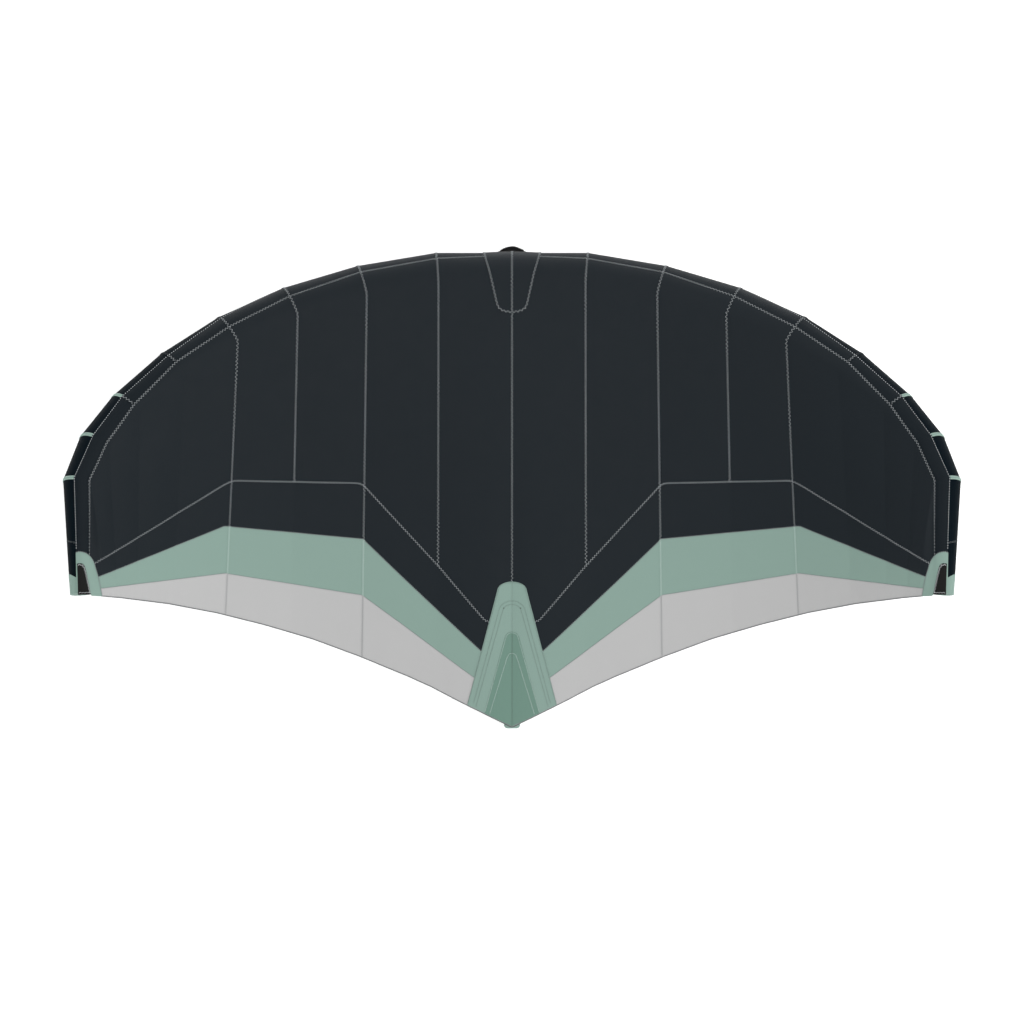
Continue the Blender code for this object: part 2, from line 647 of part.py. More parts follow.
def scuff_patch(n, m):
    grid = []
    for u, d0, d1 in ((8.665, 82, 104), (8.70, 78, 116), (8.78, 77, 122), (8.88, 77, 128), (8.99, 78, 134)):
        grid.append([tube(u, d0 + (d1 - d0) * k / 4, PATCH_OFF + 0.0024) for k in range(5)])
    return skin(n, grid, BLACK, (0, 0, 1), mirror=m, thickness=0.0010)


pair("tip_scuff_patch", scuff_patch)

# ------------------------------------------------------------------ handles under the strut


def strap_solid(name, path, normals, widths, thick, side, mat):
    """Flat strap along a path: widths are half widths along side, thick is the thickness along the normals."""
    rings = []
    for p, n, w in zip(path, normals, widths):
        p, n, s = np.array(p), unit(n), np.array(side, float)
        h = thick / 2
        rings.append([p + s * w + n * h, p - s * w + n * h, p - s * w - n * h, p + s * w - n * h])
    return solid(name, rings, mat)


def strut_bottom(y):
    return strut_point(y, -90)


def handle(prefix, y_front, y_rear, drop, pad_front, pad_rear):
    a, b = strut_bottom(y_front), strut_bottom(y_rear)
    a, b = a - np.array([0, 0, PIVOT_DROP]), b - np.array([0, 0, PIVOT_DROP])
    along = unit(b - a)
    down = unit(np.cross(along, (1.0, 0, 0)))
    down = down if down[2] < 0 else -down
    span = np.linalg.norm(b - a)
    inset = min(0.055, span * 0.2)
    # webbing: up one leg, through the grip, down the other
    knots = [(-0.014, 0.0, 0.0040), (0.0, 0.0, 0.0040), (0.012, 0.010, 0.0048), (inset * 0.55, drop * 0.52, 0.0120), (inset * 0.92, drop * 0.90, 0.0120),
             (inset * 1.12, drop, 0.0075)]
    pts = [a + along * s + down * h for s, h, _ in knots] + [b - along * s + down * h for s, h, _ in knots[::-1]]
    widths = [w for _, _, w in knots] + [w for _, _, w in knots[::-1]]
    normals = []
    for i in range(len(pts)):
        t = unit(pts[min(i + 1, len(pts) - 1)] - pts[max(i - 1, 0)])
        normals.append(np.cross(t, (1.0, 0, 0)))
    web = strap_solid(prefix + "_webbing", pts, normals, widths, 0.0036, (1, 0, 0), BLACK)
    c = (a + b) / 2 + down * drop
    half = span / 2 - inset * 1.20
    outer, inner = [], []
    for s, r in ((-half, GRIP_RADIUS * 0.86), (-half + 0.006, GRIP_RADIUS), (half - 0.006, GRIP_RADIUS), (half, GRIP_RADIUS * 0.86)):
        o = c + along * s
        outer.append([o + np.array([1.0, 0, 0]) * r * math.cos(t) + down * r * math.sin(t) for t in np.linspace(0, 2 * math.pi, 16, endpoint=False)])
        inner.append([o + np.array([1.0, 0, 0]) * 0.0092 * math.cos(t) + down * 0.0092 * math.sin(t) for t in np.linspace(0, 2 * math.pi, 16, endpoint=False)])
    grip = solid(prefix + "_grip", outer, FOAM, hollow=inner)
    for ob in (web, grip):
        put_origin(ob, (a + b) / 2)
    ys = [y for y in np.linspace(pad_front, pad_rear, 5)]
    ys = sorted(set(ys + [p[0] for p in STRUT if pad_rear + 0.01 < p[0] < pad_front - 0.01]), reverse=True)
    grid = [[strut_point(y, -90 + d, 0.0016) for d in (-33.75, -22.5, -11.25, 0, 11.25, 22.5, 33.75)] for y in ys]
    skin(prefix + "_pad", grid, BLACK, (0, 0, -1), thickness=0.0014)
    return a, b, down


front_a, front_b, front_down = handle("front_handle", *FRONT_HANDLE, 0.630, 0.190)
rear_a, rear_b, rear_down = handle("rear_handle", *REAR_HANDLE, 0.155, -0.185)

# ------------------------------------------------------------------ nose handle
NOSE_C = np.array([0.0, AXIS[0][1], REST_HEIGHT])
NOSE_D = np.array([0.0, math.cos(NOSE_TILT), -math.sin(NOSE_TILT)])
NOSE_T = np.array([0.0, math.sin(NOSE_TILT), math.cos(NOSE_TILT)])


def nose_at(x, extra=0.0):
    h = NOSE_PIVOT + NOSE_RISE * math.cos(math.pi * x / 2 / NOSE_HALF) ** 2 + extra
    return NOSE_C + NOSE_D * (LE_RADIUS[0] + h) + np.array([x, 0, 0])


nx = list(np.linspace(-NOSE_HALF, NOSE_HALF, 19))
npts = [nose_at(x) for x in nx]
nn = []
for i in range(len(npts)):
    t = unit(npts[min(i + 1, len(npts) - 1)] - npts[max(i - 1, 0)])
    nn.append(np.cross(t, NOSE_T))
nw = [0.0042 + (0.0105 - 0.0042) * min(1.0, max(0.0, (NOSE_HALF - abs(x) - 0.012) / 0.028)) for x in nx]
nose_web = strap_solid("nose_handle_webbing", npts, nn, nw, 0.0032, NOSE_T, BLACK)
outer, inner = [], []
for x in np.linspace(-0.044, 0.044, 9):
    p = nose_at(x)
    t = unit(nose_at(x + 1e-3) - nose_at(x - 1e-3))
    n = unit(np.cross(NOSE_T, t))
    k = 0.86 if abs(x) > 0.043 else 1.0
    outer.append([p + NOSE_T * 0.0150 * k * math.cos(q) + n * 0.0070 * k * math.sin(q) for q in np.linspace(0, 2 * math.pi, 12, endpoint=False)])
    inner.append([p + NOSE_T * s * 0.0118 + n * w * 0.0023 for s, w in ((1, 0.6), (1, 1), (0.5, 1), (-0.5, 1), (-1, 1), (-1, 0.6), (-1, -0.6), (-1, -1), (-0.5, -1), (0.5, -1), (1, -1), (1, -0.6))])
nose_pad = solid("nose_handle_pad", outer, FOAM, hollow=inner)
NOSE_HINGE = NOSE_C + NOSE_D * (LE_RADIUS[0] + NOSE_PIVOT)
for ob in (nose_web, nose_pad):
    put_origin(ob, NOSE_HINGE)

# ------------------------------------------------------------------ inflation valve on the back of the leading edge
vm, v_c, v_d = behind_tube(VALVE_X, VALVE_TILT)
cut(sleeve_center, cutter("cut_valve_sleeve", 0.0185, 0.06, vm))
cut(le_bladder, cutter("cut_valve_bladder", 0.0130, 0.06, vm))
# heights along the valve axis, from the tube's surface
base = turned("valve_base", [(0.0122, -0.0022), (0.0172, -0.0022), (0.0172, 0.0016), (0.0240, 0.0016), (0.0240, 0.0040), (0.0178, 0.0052), (0.0168, 0.0130),
                             (0.0122, 0.0130)], VALVE, vm, ring=True)
for side in (-1, 1):      # the two ears of the cap's hinge stand on the collar
    cut(base, block("ear_%d" % side, (0.0202, min(side * 0.0055, side * 0.0080), 0.0030), (0.0248, max(side * 0.0055, side * 0.0080), 0.0152), vm), "UNION")
insert = turned("valve_insert", [(0.0072, 0.0010), (0.0117, 0.0010), (0.0117, 0.0134), (0.0152, 0.0134), (0.0158, 0.0142), (0.0158, 0.0165), (0.0150, 0.0172),
                                 (0.0098, 0.0172), (0.0072, 0.0156)], VALVE_GREY, vm, ring=True)
plunger = turned("valve_plunger", [(0.0, 0.0040), (0.0058, 0.0040), (0.0062, 0.0048), (0.0062, 0.0064), (0.0024, 0.0080), (0.0024, 0.0132), (0.0018, 0.0140),
                                   (0.0, 0.0140)], VALVE, vm, steps=16)
# cup-shaped cap over the insert, hinged between the ears
cap = turned("valve_cap", [(0.0, 0.0182), (0.0166, 0.0182), (0.0166, 0.0136), (0.0182, 0.0136), (0.0186, 0.0150), (0.0186, 0.0188), (0.0174, 0.0200),
                           (0.0, 0.0204)], VALVE, vm)
cut(cap, block("cap_lug", (0.0180, -0.0045, 0.0105), (0.0252, 0.0045, 0.0155), vm), "UNION")
CAP_HINGE = vm @ Vector((0.0225, 0.0, 0.0130))
put_origin(cap, CAP_HINGE)

# ------------------------------------------------------------------ hose from the leading edge to the strut, and its clamp
hm, h_c, h_d = behind_tube(HOSE_X, HOSE_TILT)
hose_y = 0.500
s_c = np.array([0.0, hose_y, strut_axis(hose_y)])
strut_hit = s_c + np.array([-1.0, 0, 0]) * (strut_radius(hose_y))
cut(sleeve_center, cutter("cut_hose_sleeve", HOSE_BORE, 0.06, hm, 16))
cut(le_bladder, cutter("cut_hose_bladder", HOSE_BORE, 0.06, hm, 16))
sm = frame_at(strut_hit, (-1, 0, 0), (0, 1, 0))
cut(strut_sleeve, cutter("cut_hose_strut", HOSE_BORE, 0.05, sm, 16))
cut(strut_bladder, cutter("cut_hose_strut_bladder", HOSE_BORE, 0.05, sm, 16))
h0 = h_c + h_d * (LE_RADIUS[0] + 0.0016)
h3 = strut_hit + np.array([-0.0016, 0, 0])
h1, h2 = h0 + h_d * 0.085, h3 + np.array([-0.085, 0, 0])


def hose_point(t):
    return h0 * (1 - t) ** 3 + h1 * 3 * t * (1 - t) ** 2 + h2 * 3 * t * t * (1 - t) + h3 * t ** 3


def hose_tangent(t):
    return unit(hose_point(min(t + 1e-3, 1)) - hose_point(max(t - 1e-3, 0)))


def pipe(name, ts, radius_of, bore, mat, sides=12):
    outer, inner, ref = [], [], np.array([0.0, 0, 1.0])
    for t in ts:
        d = h_d if t == 0 else np.array([1.0, 0, 0]) if t == 1 else hose_tangent(t)
        ref = unit(ref - d * (ref @ d))
        s = np.cross(d, ref)
        q = np.linspace(0, 2 * math.pi, sides, endpoint=False)
        outer.append([hose_point(t) + (ref * math.cos(a) + s * math.sin(a)) * radius_of(t) for a in q])
        inner.append([hose_point(t) + (ref * math.cos(a) + s * math.sin(a)) * bore for a in q])
    return solid(name, outer, mat, hollow=inner)


pipe("crossover_hose", [0, 0.04, 0.05] + list(np.linspace(0.16, 0.84, 8)) + [0.95, 0.96, 1],
     lambda t: 0.0125 if (t < 0.045 or t > 0.955) else HOSE_R, HOSE_BORE, HOSE, sides=10)

# clamp: a clip under the hose and a jaw that swings down on it
CLAMP_T = 0.5
cp, ct = hose_point(CLAMP_T), hose_tangent(CLAMP_T)
c_up = unit(np.array([0, 0, 1.0]) - ct * ct[2])
c_side = unit(np.cross(ct, c_up))          # across the hose


def clamp_block(name, profile, mat):
    """Extruded outline (across, up) of a clamp part, 9 mm wide along the hose."""
    rings = [[cp + c_side * a + c_up * b + ct * w for a, b in profile] for w in (-0.0045, 0.0045)]
    return solid(name, rings, mat)


clamp_block("hose_clamp", [(-0.0240, -0.0040), (-0.0240, -0.0125), (0.0215, -0.0125), (0.0215, -0.0040), (0.0165, -0.0040), (0.0165, -0.0090), (-0.0122, -0.0090),
                           (-0.0122, 0.0060), (-0.0153, 0.0060), (-0.0153, -0.0040)], VALVE)
clamp_pivot = cp + c_side * -0.0200 + c_up * 0.0015
lever = clamp_block("hose_clamp_lever", [(-0.0235, -0.0010), (-0.0165, -0.0010), (-0.0165, 0.0095), (0.0200, 0.0145), (0.0225, 0.0190), (-0.0180, 0.0150), (-0.0235, 0.0110)], VALVE)
put_origin(lever, clamp_pivot)

# ------------------------------------------------------------------ zip on the strut
ZIP_DEG, ZIP_FRONT, ZIP_REAR = -33.75, -0.148, -0.332


def zip_point(y, deg, off):
    """Over the strut's straight length between two sewing stations."""
    return strut_point(y, deg, off)


zip_rows = []
for y in (ZIP_FRONT, (ZIP_FRONT + ZIP_REAR) / 2, ZIP_REAR):
    zip_rows.append([zip_point(y, ZIP_DEG + d, 0.0016) for d in (-11.25, -5.6, 0, 5.6, 11.25)])
zn = strut_point(-0.24, ZIP_DEG) - np.array([0, -0.24, strut_axis(-0.24)])
skin("strut_zip", zip_rows, ZIP, tuple(zn), thickness=0.0016)
z0, z1 = zip_point(ZIP_FRONT - 0.012, ZIP_DEG, 0.0), zip_point(ZIP_REAR + 0.012, ZIP_DEG, 0.0)
z_along = unit(z1 - z0)
z_out = unit(np.cross(z_along, np.cross(unit(zn), z_along)))
z_side = np.cross(z_along, z_out)
z_c = zip_point(ZIP_FRONT - 0.012, ZIP_DEG, 0.0) + z_out * 0.0048
prof = [(-0.0070, 0.0), (-0.0052, 0.0032), (0.0030, 0.0032), (0.0042, 0.0056), (0.0235, 0.0054), (0.0255, 0.0040), (0.0235, 0.0026), (0.0070, 0.0022), (0.0062, 0.0)]
slider = solid("strut_zip_slider", [[z_c + z_along * a + z_out * b + z_side * w for a, b in prof] for w in (-0.0042, 0.0042)], ZIP)
put_origin(slider, z_c)

# ------------------------------------------------------------------ leash loop under the front of the strut
LOOP_Y = 0.592
lp = strut_bottom(LOOP_Y) - np.array([0, 0, 0.0080])
eye_out, eye_in = [], []
for k in range(16):
    q = 2 * math.pi * k / 16
    w = 0.0095 * (0.55 + 0.45 * min(1.0, (1 + math.sin(q + math.pi)) * 0.9))
    eye_out.append((w * math.cos(q), -0.0190 + 0.0212 * math.sin(q)))
    eye_in.append((max(w - 0.0024, 0.002) * math.cos(q), -0.0190 + 0.0186 * math.sin(q)))
outer = [[lp + np.array([x, a, b]) for a, b in eye_out] for x in (-0.0100, 0.0100)]
inner = [[lp + np.array([x, a, b]) for a, b in eye_in] for x in (-0.0100, 0.0100)]
loop = solid("leash_loop", outer, BLACK, hollow=inner)
put_origin(loop, lp)
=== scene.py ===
import math

import bmesh
import bpy
import numpy as np
from mathutils import Matrix, Vector


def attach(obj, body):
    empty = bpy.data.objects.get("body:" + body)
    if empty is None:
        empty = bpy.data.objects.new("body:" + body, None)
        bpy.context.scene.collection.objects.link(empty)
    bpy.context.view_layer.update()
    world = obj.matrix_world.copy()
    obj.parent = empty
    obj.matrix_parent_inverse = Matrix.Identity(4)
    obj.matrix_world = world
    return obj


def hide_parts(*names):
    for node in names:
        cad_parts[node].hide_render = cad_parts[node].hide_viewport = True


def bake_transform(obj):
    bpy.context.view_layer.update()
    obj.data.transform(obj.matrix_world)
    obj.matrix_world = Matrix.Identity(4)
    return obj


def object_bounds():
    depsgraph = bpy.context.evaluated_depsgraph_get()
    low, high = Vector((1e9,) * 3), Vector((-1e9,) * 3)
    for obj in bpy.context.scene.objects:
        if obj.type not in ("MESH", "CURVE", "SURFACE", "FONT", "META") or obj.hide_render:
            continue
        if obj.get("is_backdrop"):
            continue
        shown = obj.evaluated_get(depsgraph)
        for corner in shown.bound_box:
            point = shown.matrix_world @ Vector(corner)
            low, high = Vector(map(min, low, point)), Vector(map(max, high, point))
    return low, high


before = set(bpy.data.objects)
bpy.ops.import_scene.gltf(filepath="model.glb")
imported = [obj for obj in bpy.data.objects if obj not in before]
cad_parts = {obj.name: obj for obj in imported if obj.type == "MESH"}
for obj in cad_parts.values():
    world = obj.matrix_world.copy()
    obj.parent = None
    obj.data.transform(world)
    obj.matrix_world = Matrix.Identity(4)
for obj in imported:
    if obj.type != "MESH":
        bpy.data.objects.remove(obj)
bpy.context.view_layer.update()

# ------------------------------------------------------------------ the wing's driving sizes, in metres
LE_FRONT = [(0.0, 0.895), (0.293, 0.891), (0.587, 0.842), (0.870, 0.758), (1.117, 0.646),
            (1.332, 0.509), (1.516, 0.349), (1.640, 0.195), (1.706, 0.028), (1.680, -0.409)]
LE_RADIUS = np.array([0.122, 0.122, 0.1185, 0.112, 0.104, 0.095, 0.085, 0.074, 0.063, 0.042])
TUBE_SIDES = 20
REST_HEIGHT = LE_RADIUS[0] * math.cos(math.pi / TUBE_SIDES)
LE_RISE = [0.0, 0.0, 0.016, 0.050, 0.098, 0.163, 0.238, 0.316, 0.388, 0.440]
SEAM_DEG = np.array([22.0, 32.5, 36.5, 46.6, 56.8, 65.0, 83.6, 104.5, 116.7, 132.0])
LEAVE_DEG = np.array([82.0, 83.0, 86.0, 90.0, 95.0, 101.0, 109.0, 117.0, 125.0, 136.0])
COVER_DEG = np.array([-35.0, -33.0, -28.0, -12.0, 20.0, 37.0, 45.0, 60.0, 66.0, 70.0])   # charcoal cover's lower edge
TUBE_END = 8.84
TE_X = np.array([0.0, 0.281, 0.570, 0.840, 1.089, 1.292, 1.425, 1.501, 1.535, 1.559])
TE_CURVE = [(0.0, -0.9124), (0.031, -0.8964), (0.122, -0.8497), (0.213, -0.8041), (0.304, -0.7566), (0.395, -0.7167),
            (0.578, -0.6426), (0.760, -0.5761), (0.942, -0.5229), (1.125, -0.4773), (1.307, -0.4431),
            (1.490, -0.4203), (1.559, -0.4146)]
TE_HEIGHT = np.array([0.0645, 0.076, 0.100, 0.145, 0.220, 0.330, 0.430, 0.492, 0.524, 0.556])
TE_SLOPE = np.array([-0.24, -0.24, -0.22, -0.18, -0.12, -0.12, -0.20, -0.30, -0.50, -0.70])
BAND_FRONT = [(0.0, -0.727), (0.119, -0.616), (0.426, -0.329), (0.567, -0.195), (1.094, -0.147), (1.572, -0.340), (1.598, -0.412)]
BAND_REAR = [(0.0, -0.823), (0.146, -0.717), (0.426, -0.511), (0.570, -0.408), (1.091, -0.326), (1.564, -0.384), (1.581, -0.414)]
CLOTH = 0.0008
CANOPY_OFF = 0.0015
PATCH_OFF = 0.0039
HEM_WIDTH, BINDING = 0.0045, 0.0019     # width of the turned edge, and of the binding that shows
STRUT = [(0.600, 0.0775), (0.450, 0.0770), (0.250, 0.0740), (0.050, 0.0690), (-0.140, 0.0630), (-0.340, 0.0560),
         (-0.550, 0.0470), (-0.720, 0.0390), (-0.872, 0.0310)]
STRUT_FRONT_RADIUS = 0.0780
STRUT_DROP = 0.0025
TAIL_Y = -0.9162
LEN = 10


def unit(v):
    v = np.asarray(v, float)
    return v / np.maximum(np.linalg.norm(v, axis=-1, keepdims=True), 1e-12)


# ------------------------------------------------------------------ leading-edge tube
def tube_frames():
    p = [np.array(q) for q in LE_FRONT]
    seg = [unit(p[i + 1] - p[i]) for i in range(LEN - 1)]
    axis, out, sec = [], [], []
    for i in range(LEN):
        if i == 0:
            d, s = np.array([1.0, 0.0]), 1.0
        elif i == LEN - 1:
            d, s = seg[-1], 1.0
        else:
            d = unit(seg[i - 1] + seg[i])
            s = 1.0 / float(d @ seg[i])
        o = np.array([-d[1], d[0]])
        q = p[i] - o * LE_RADIUS[i] * s
        axis.append([q[0], q[1], REST_HEIGHT + LE_RISE[i]])
        out.append([o[0], o[1], 0.0])
        sec.append(s)
    axis, out = np.array(axis), np.array(out)
    axis[0, 1] = axis[1, 1]
    run = [unit(axis[i + 1] - axis[i]) for i in range(LEN - 1)]
    up = []
    for i in range(LEN):
        d = np.array([1.0, 0, 0]) if i == 0 else run[-1] if i == LEN - 1 else run[i - 1] + run[i]
        d = unit(d - out[i] * (d @ out[i]))
        u = np.cross(d, out[i])
        up.append(u if u[2] > 0 else -u)
    return axis, out, np.array(up), np.array(sec)


AXIS, OUT, UP, SEC = tube_frames()
OUT[1] = unit(np.array([0.0, 1.0, 0.0]) * 0.35 + OUT[1] * 0.65)
SPAN = np.linalg.norm(AXIS[1:] - AXIS[:-1], axis=1)          # length of each cut of the casing
ALONG = np.concatenate([[0], np.cumsum(SPAN)])


def lerp(table, u):
    table, u = np.asarray(table, float), np.asarray(u, float)
    k = np.clip(np.floor(u).astype(int), 0, LEN - 2)
    f = u - k
    if table.ndim > 1:
        f = f[..., None]
    return table[k] * (1 - f) + table[k + 1] * f


def tube(u, deg, off=0.0):
    """Points of the tube: u is the station, deg runs from the outer side (0) over the top (90) to the inside (180)."""
    u, deg, off = np.broadcast_arrays(np.asarray(u, float), np.asarray(deg, float), np.asarray(off, float))
    k = np.clip(np.floor(u).astype(int), 0, LEN - 2)
    f, t = (u - k)[..., None], np.radians(deg)[..., None]

    off = off + 0.0034 * np.clip(1 - (u / 0.42) ** 2, 0, 1) ** 2 * np.clip(np.cos(np.radians(deg - 2.0)), 0, 1) ** 3      # the nose rounds out a little

    def ring(i):
        return AXIS[i] + (LE_RADIUS[i] + off)[..., None] * (np.cos(t) * SEC[i][..., None] * OUT[i] + np.sin(t) * UP[i])
    return ring(k) * (1 - f) + ring(k + 1) * f


def tube_normal(u, deg):
    u, deg = np.broadcast_arrays(np.asarray(u, float), np.asarray(deg, float))
    k = np.clip(np.floor(u).astype(int), 0, LEN - 2)
    f, t = (u - k)[..., None], np.radians(deg)[..., None]
    a = np.cos(t) * OUT[k] + np.sin(t) * UP[k]
    b = np.cos(t) * OUT[k + 1] + np.sin(t) * UP[k + 1]
    return unit(a * (1 - f) + b * f)


def joint_distance(u):
    """Metres along the tube from the nearest sewn joint, and that joint's number."""
    k = np.clip(np.round(u), 1, 8)
    length = np.where(u < k, SPAN[(k - 1).astype(int)], SPAN[k.astype(int)])
    return np.abs(u - k) * length, k


def tube_relief(u, deg):
    """Small rise and fall of the inflated casing: a pinch at each joint and puckers beside it on the bend's inside and below."""
    d, k = joint_distance(u)
    t = np.radians(deg)
    inside = 0.5 - 0.5 * np.cos(t)                      # 0 on the outer side, 1 on the inside of the bend
    wave = np.sin(t * 17 + k * 1.7) * 0.6 + np.sin(t * 29 + k * 2.9) * 0.4
    return -0.0011 * np.exp(-(d / 0.006) ** 2) + 0.0011 * (0.25 + 0.75 * inside) * wave * np.exp(-d / 0.035) * (1 - np.exp(-(d / 0.008) ** 2))


def casing(u, deg, off=0.0):
    """Outer face of the casing with its relief, flattened where it rests on the ground; u below zero is the left side."""
    u = np.asarray(u, float)
    a = np.abs(u)
    p = tube(a, deg, np.asarray(off, float) + tube_relief(a, deg))
    p[..., 0] = p[..., 0] * np.where(u < 0, -1.0, 1.0)
    p[..., 2] = np.maximum(p[..., 2], 0.0004)
    return p


# ------------------------------------------------------------------ canopy
TEC_X, TEC_Y = np.array(TE_CURVE).T
# slopes for a smooth rise of the trailing edge through its stations
_d = np.diff(TE_HEIGHT) / np.diff(TE_X)
TE_RATE = np.concatenate([[_d[0]], 2 * _d[1:] * _d[:-1] / (_d[1:] + _d[:-1]), [_d[-1]]])


def te_point(u):
    x = lerp(TE_X, u)
    k = np.clip(np.searchsorted(TE_X, x, side="right") - 1, 0, LEN - 2)
    h = TE_X[k + 1] - TE_X[k]
    t = (x - TE_X[k]) / h
    smooth = ((1 + 2 * t) * (1 - t) ** 2 * TE_HEIGHT[k] + t * (1 - t) ** 2 * h * TE_RATE[k]
              + t * t * (3 - 2 * t) * TE_HEIGHT[k + 1] + t * t * (t - 1) * h * TE_RATE[k + 1])
    z = 0.6 * smooth + 0.4 * np.interp(x, TE_X, TE_HEIGHT)
    return np.stack([x, np.interp(x, TEC_X, TEC_Y), z], -1)


def free_cloth(u, v):
    u, v = np.broadcast_arrays(np.asarray(u, float), np.asarray(v, float))
    deg = lerp(LEAVE_DEG, u)
    a, b = tube(u, deg, CANOPY_OFF), te_point(u)
    g = (b - a)[..., :2]
    length = np.linalg.norm(g, axis=-1)
    g = g / length[..., None]
    n = tube_normal(u, deg)
    start, end = -(n[..., 0] * g[..., 0] + n[..., 1] * g[..., 1]) / n[..., 2], lerp(TE_SLOPE, u)
    h = v * v * (3 - 2 * v)
    z = a[..., 2] * (1 - h) + b[..., 2] * h + length * (start * (v - 2 * v * v + v ** 3) + end * (v ** 3 - v * v))
    return np.stack([a[..., 0] + g[..., 0] * length * v, a[..., 1] + g[..., 1] * length * v, z], -1)


def chord(u):
    return np.linalg.norm((te_point(u) - free_cloth(u, 0.0))[..., :2], axis=-1)


def cloth_relief(u, v):
    """Swell between the radial seams, slack of the free edge, and soft pulls where the cloth leaves each joint of the tube."""
    f = u - np.floor(u)
    env = np.sin(np.pi * np.clip(v, 0, 1)) ** 0.8
    outer = np.clip((8.3 - u) / 1.5, 0, 1)
    swell = 0.0030 * 4 * f * (1 - f) * env * outer
    x = lerp(TE_X, u)
    swell = swell + 0.0200 * (1 - np.exp(-x / 0.085)) * np.exp(-(x / 0.50) ** 2) * np.clip((v - 0.25) / 0.5, 0, 1) ** 1.5     # it rises on both sides of the strut
    slack = 0.0011 * np.clip((v - 0.90) / 0.10, 0, 1) ** 2 * np.sin(u * 19.0 + 0.6) * np.sin(u * 7.3 + 1.1) * np.clip((8.6 - u), 0, 1) * np.clip(u / 0.4 - 0.5, 0, 1)
    d, k = joint_distance(u)
    s = v * chord(u)
    pull = -0.0009 * np.exp(-(d / (0.012 + 0.10 * s)) ** 2) * np.exp(-s / 0.13) * np.clip(s / 0.02, 0, 1) * (k < 8)
    ripple = 0.00045 * np.sin(d / (0.010 + 0.06 * s) * 2.2 + k) * np.exp(-s / 0.10) * np.exp(-d / 0.11) * np.clip(s / 0.02, 0, 1) * (k < 8)
    return swell + slack + pull + ripple


def cloth_normal(u, v):
    e = 1e-3
    du = free_cloth(np.minimum(u + e, 9), v) - free_cloth(np.maximum(u - e, 0), v)
    dv = free_cloth(u, np.minimum(v + e, 1)) - free_cloth(u, np.maximum(v - e, 0))
    n = unit(np.cross(dv, du))
    return n * np.where(n[..., 2:] > 0, 1.0, -1.0)


def cloth(u, v, off=0.0):
    """Lower face of the canopy, off metres above it."""
    u, v = np.broadcast_arrays(np.asarray(u, float), np.asarray(v, float))
    return free_cloth(u, v) + cloth_normal(u, v) * (np.asarray(off) + cloth_relief(u, v))[..., None]


def crossing(u, line, low=0.02, high=0.985):
    """v where the fan lines of u cross a polyline in plan."""
    u = np.asarray(u, float)
    a, b = free_cloth(u, 0.0)[..., :2], te_point(u)[..., :2]
    found = np.full(u.shape, np.nan)
    for p, q in zip(line[:-1], line[1:]):
        p, q = np.array(p), np.array(q)
        r, w = b - a, p - q
        det = r[..., 0] * w[1] - r[..., 1] * w[0]
        c = p - a
        s = (c[..., 0] * w[1] - c[..., 1] * w[0]) / det
        t = (r[..., 0] * c[..., 1] - r[..., 1] * c[..., 0]) / det
        ok = (t >= -1e-6) & (t <= 1 + 1e-6) & (s > -0.2) & (s < 1.3) & np.isnan(found)
        found = np.where(ok, s, found)
    found = np.where(np.isnan(found), high, found)
    return np.clip(found, low, high)


def fan_of(x, y):
    """(u, v) of plan points on the free canopy of the right half."""
    x, y = np.abs(np.asarray(x, float)), np.asarray(y, float)
    lo, hi = np.zeros(x.shape), np.full(x.shape, 9.0)

    def side(u):
        a, b = free_cloth(u, 0.0)[..., :2], te_point(u)[..., :2]
        return (b[..., 0] - a[..., 0]) * (y - a[..., 1]) - (b[..., 1] - a[..., 1]) * (x - a[..., 0])
    hi = np.where(side(lo) <= 0, 0.0, hi)
    for _ in range(34):
        m = (lo + hi) / 2
        up = side(m) > 0
        lo, hi = np.where(up, m, lo), np.where(up, hi, m)
    u = (lo + hi) / 2
    a, b = free_cloth(u, 0.0)[..., :2], te_point(u)[..., :2]
    g = b - a
    return u, ((x - a[..., 0]) * g[..., 0] + (y - a[..., 1]) * g[..., 1]) / (g * g).sum(-1)


def over_tube(x, y):
    """(u, deg) on the upper face of the tube for plan points of the right half, by a few Newton steps."""
    u, _ = fan_of(x, y)
    u = np.clip(u, 0.0, 8.99)
    deg = lerp(LEAVE_DEG, u) - 8.0
    target = np.stack([np.abs(x), y], -1)
    for _ in range(25):
        p = tube(u, deg, CANOPY_OFF)[..., :2]
        e = 1e-3
        ju = (tube(u + e, deg, CANOPY_OFF)[..., :2] - p) / e
        jd = (tube(u, deg + 0.1, CANOPY_OFF)[..., :2] - p) / 0.1
        r = target - p
        det = ju[..., 0] * jd[..., 1] - ju[..., 1] * jd[..., 0]
        det = np.where(np.abs(det) < 1e-9, 1e-9, det)
        du = (r[..., 0] * jd[..., 1] - r[..., 1] * jd[..., 0]) / det
        dd = (ju[..., 0] * r[..., 1] - ju[..., 1] * r[..., 0]) / det
        u = np.clip(u + np.clip(du, -0.5, 0.5), 0, 8.999)
        deg = np.clip(deg + np.clip(dd, -15, 15), 0.5, 150)
    return u, deg


def wrap_lift(u, deg):
    """Lower face of the canopy over the tube: pressed on the casing at its sewn edge, standing off it further in."""
    s = np.clip(np.radians(deg - lerp(SEAM_DEG, u)) * lerp(LE_RADIUS, u) / 0.030, 0, 1)
    return 0.0004 + (CANOPY_OFF - 0.0004) * s * s * (3 - 2 * s)


def skin_at(u, q, off=0.0):
    """Canopy's lower face: q runs from -1 at the sewn edge to 0 where it leaves the tube, and on to 1 at the trailing edge."""
    u, q = np.broadcast_arrays(np.asarray(u, float), np.asarray(q, float))
    seam, leave = lerp(SEAM_DEG, u), lerp(LEAVE_DEG, u)
    deg = seam + (leave - seam) * np.clip(1 + q, 0, 1)
    return np.where(q[..., None] < 0, tube(u, deg, wrap_lift(u, deg) + off), cloth(u, np.clip(q, 0, 1), off))


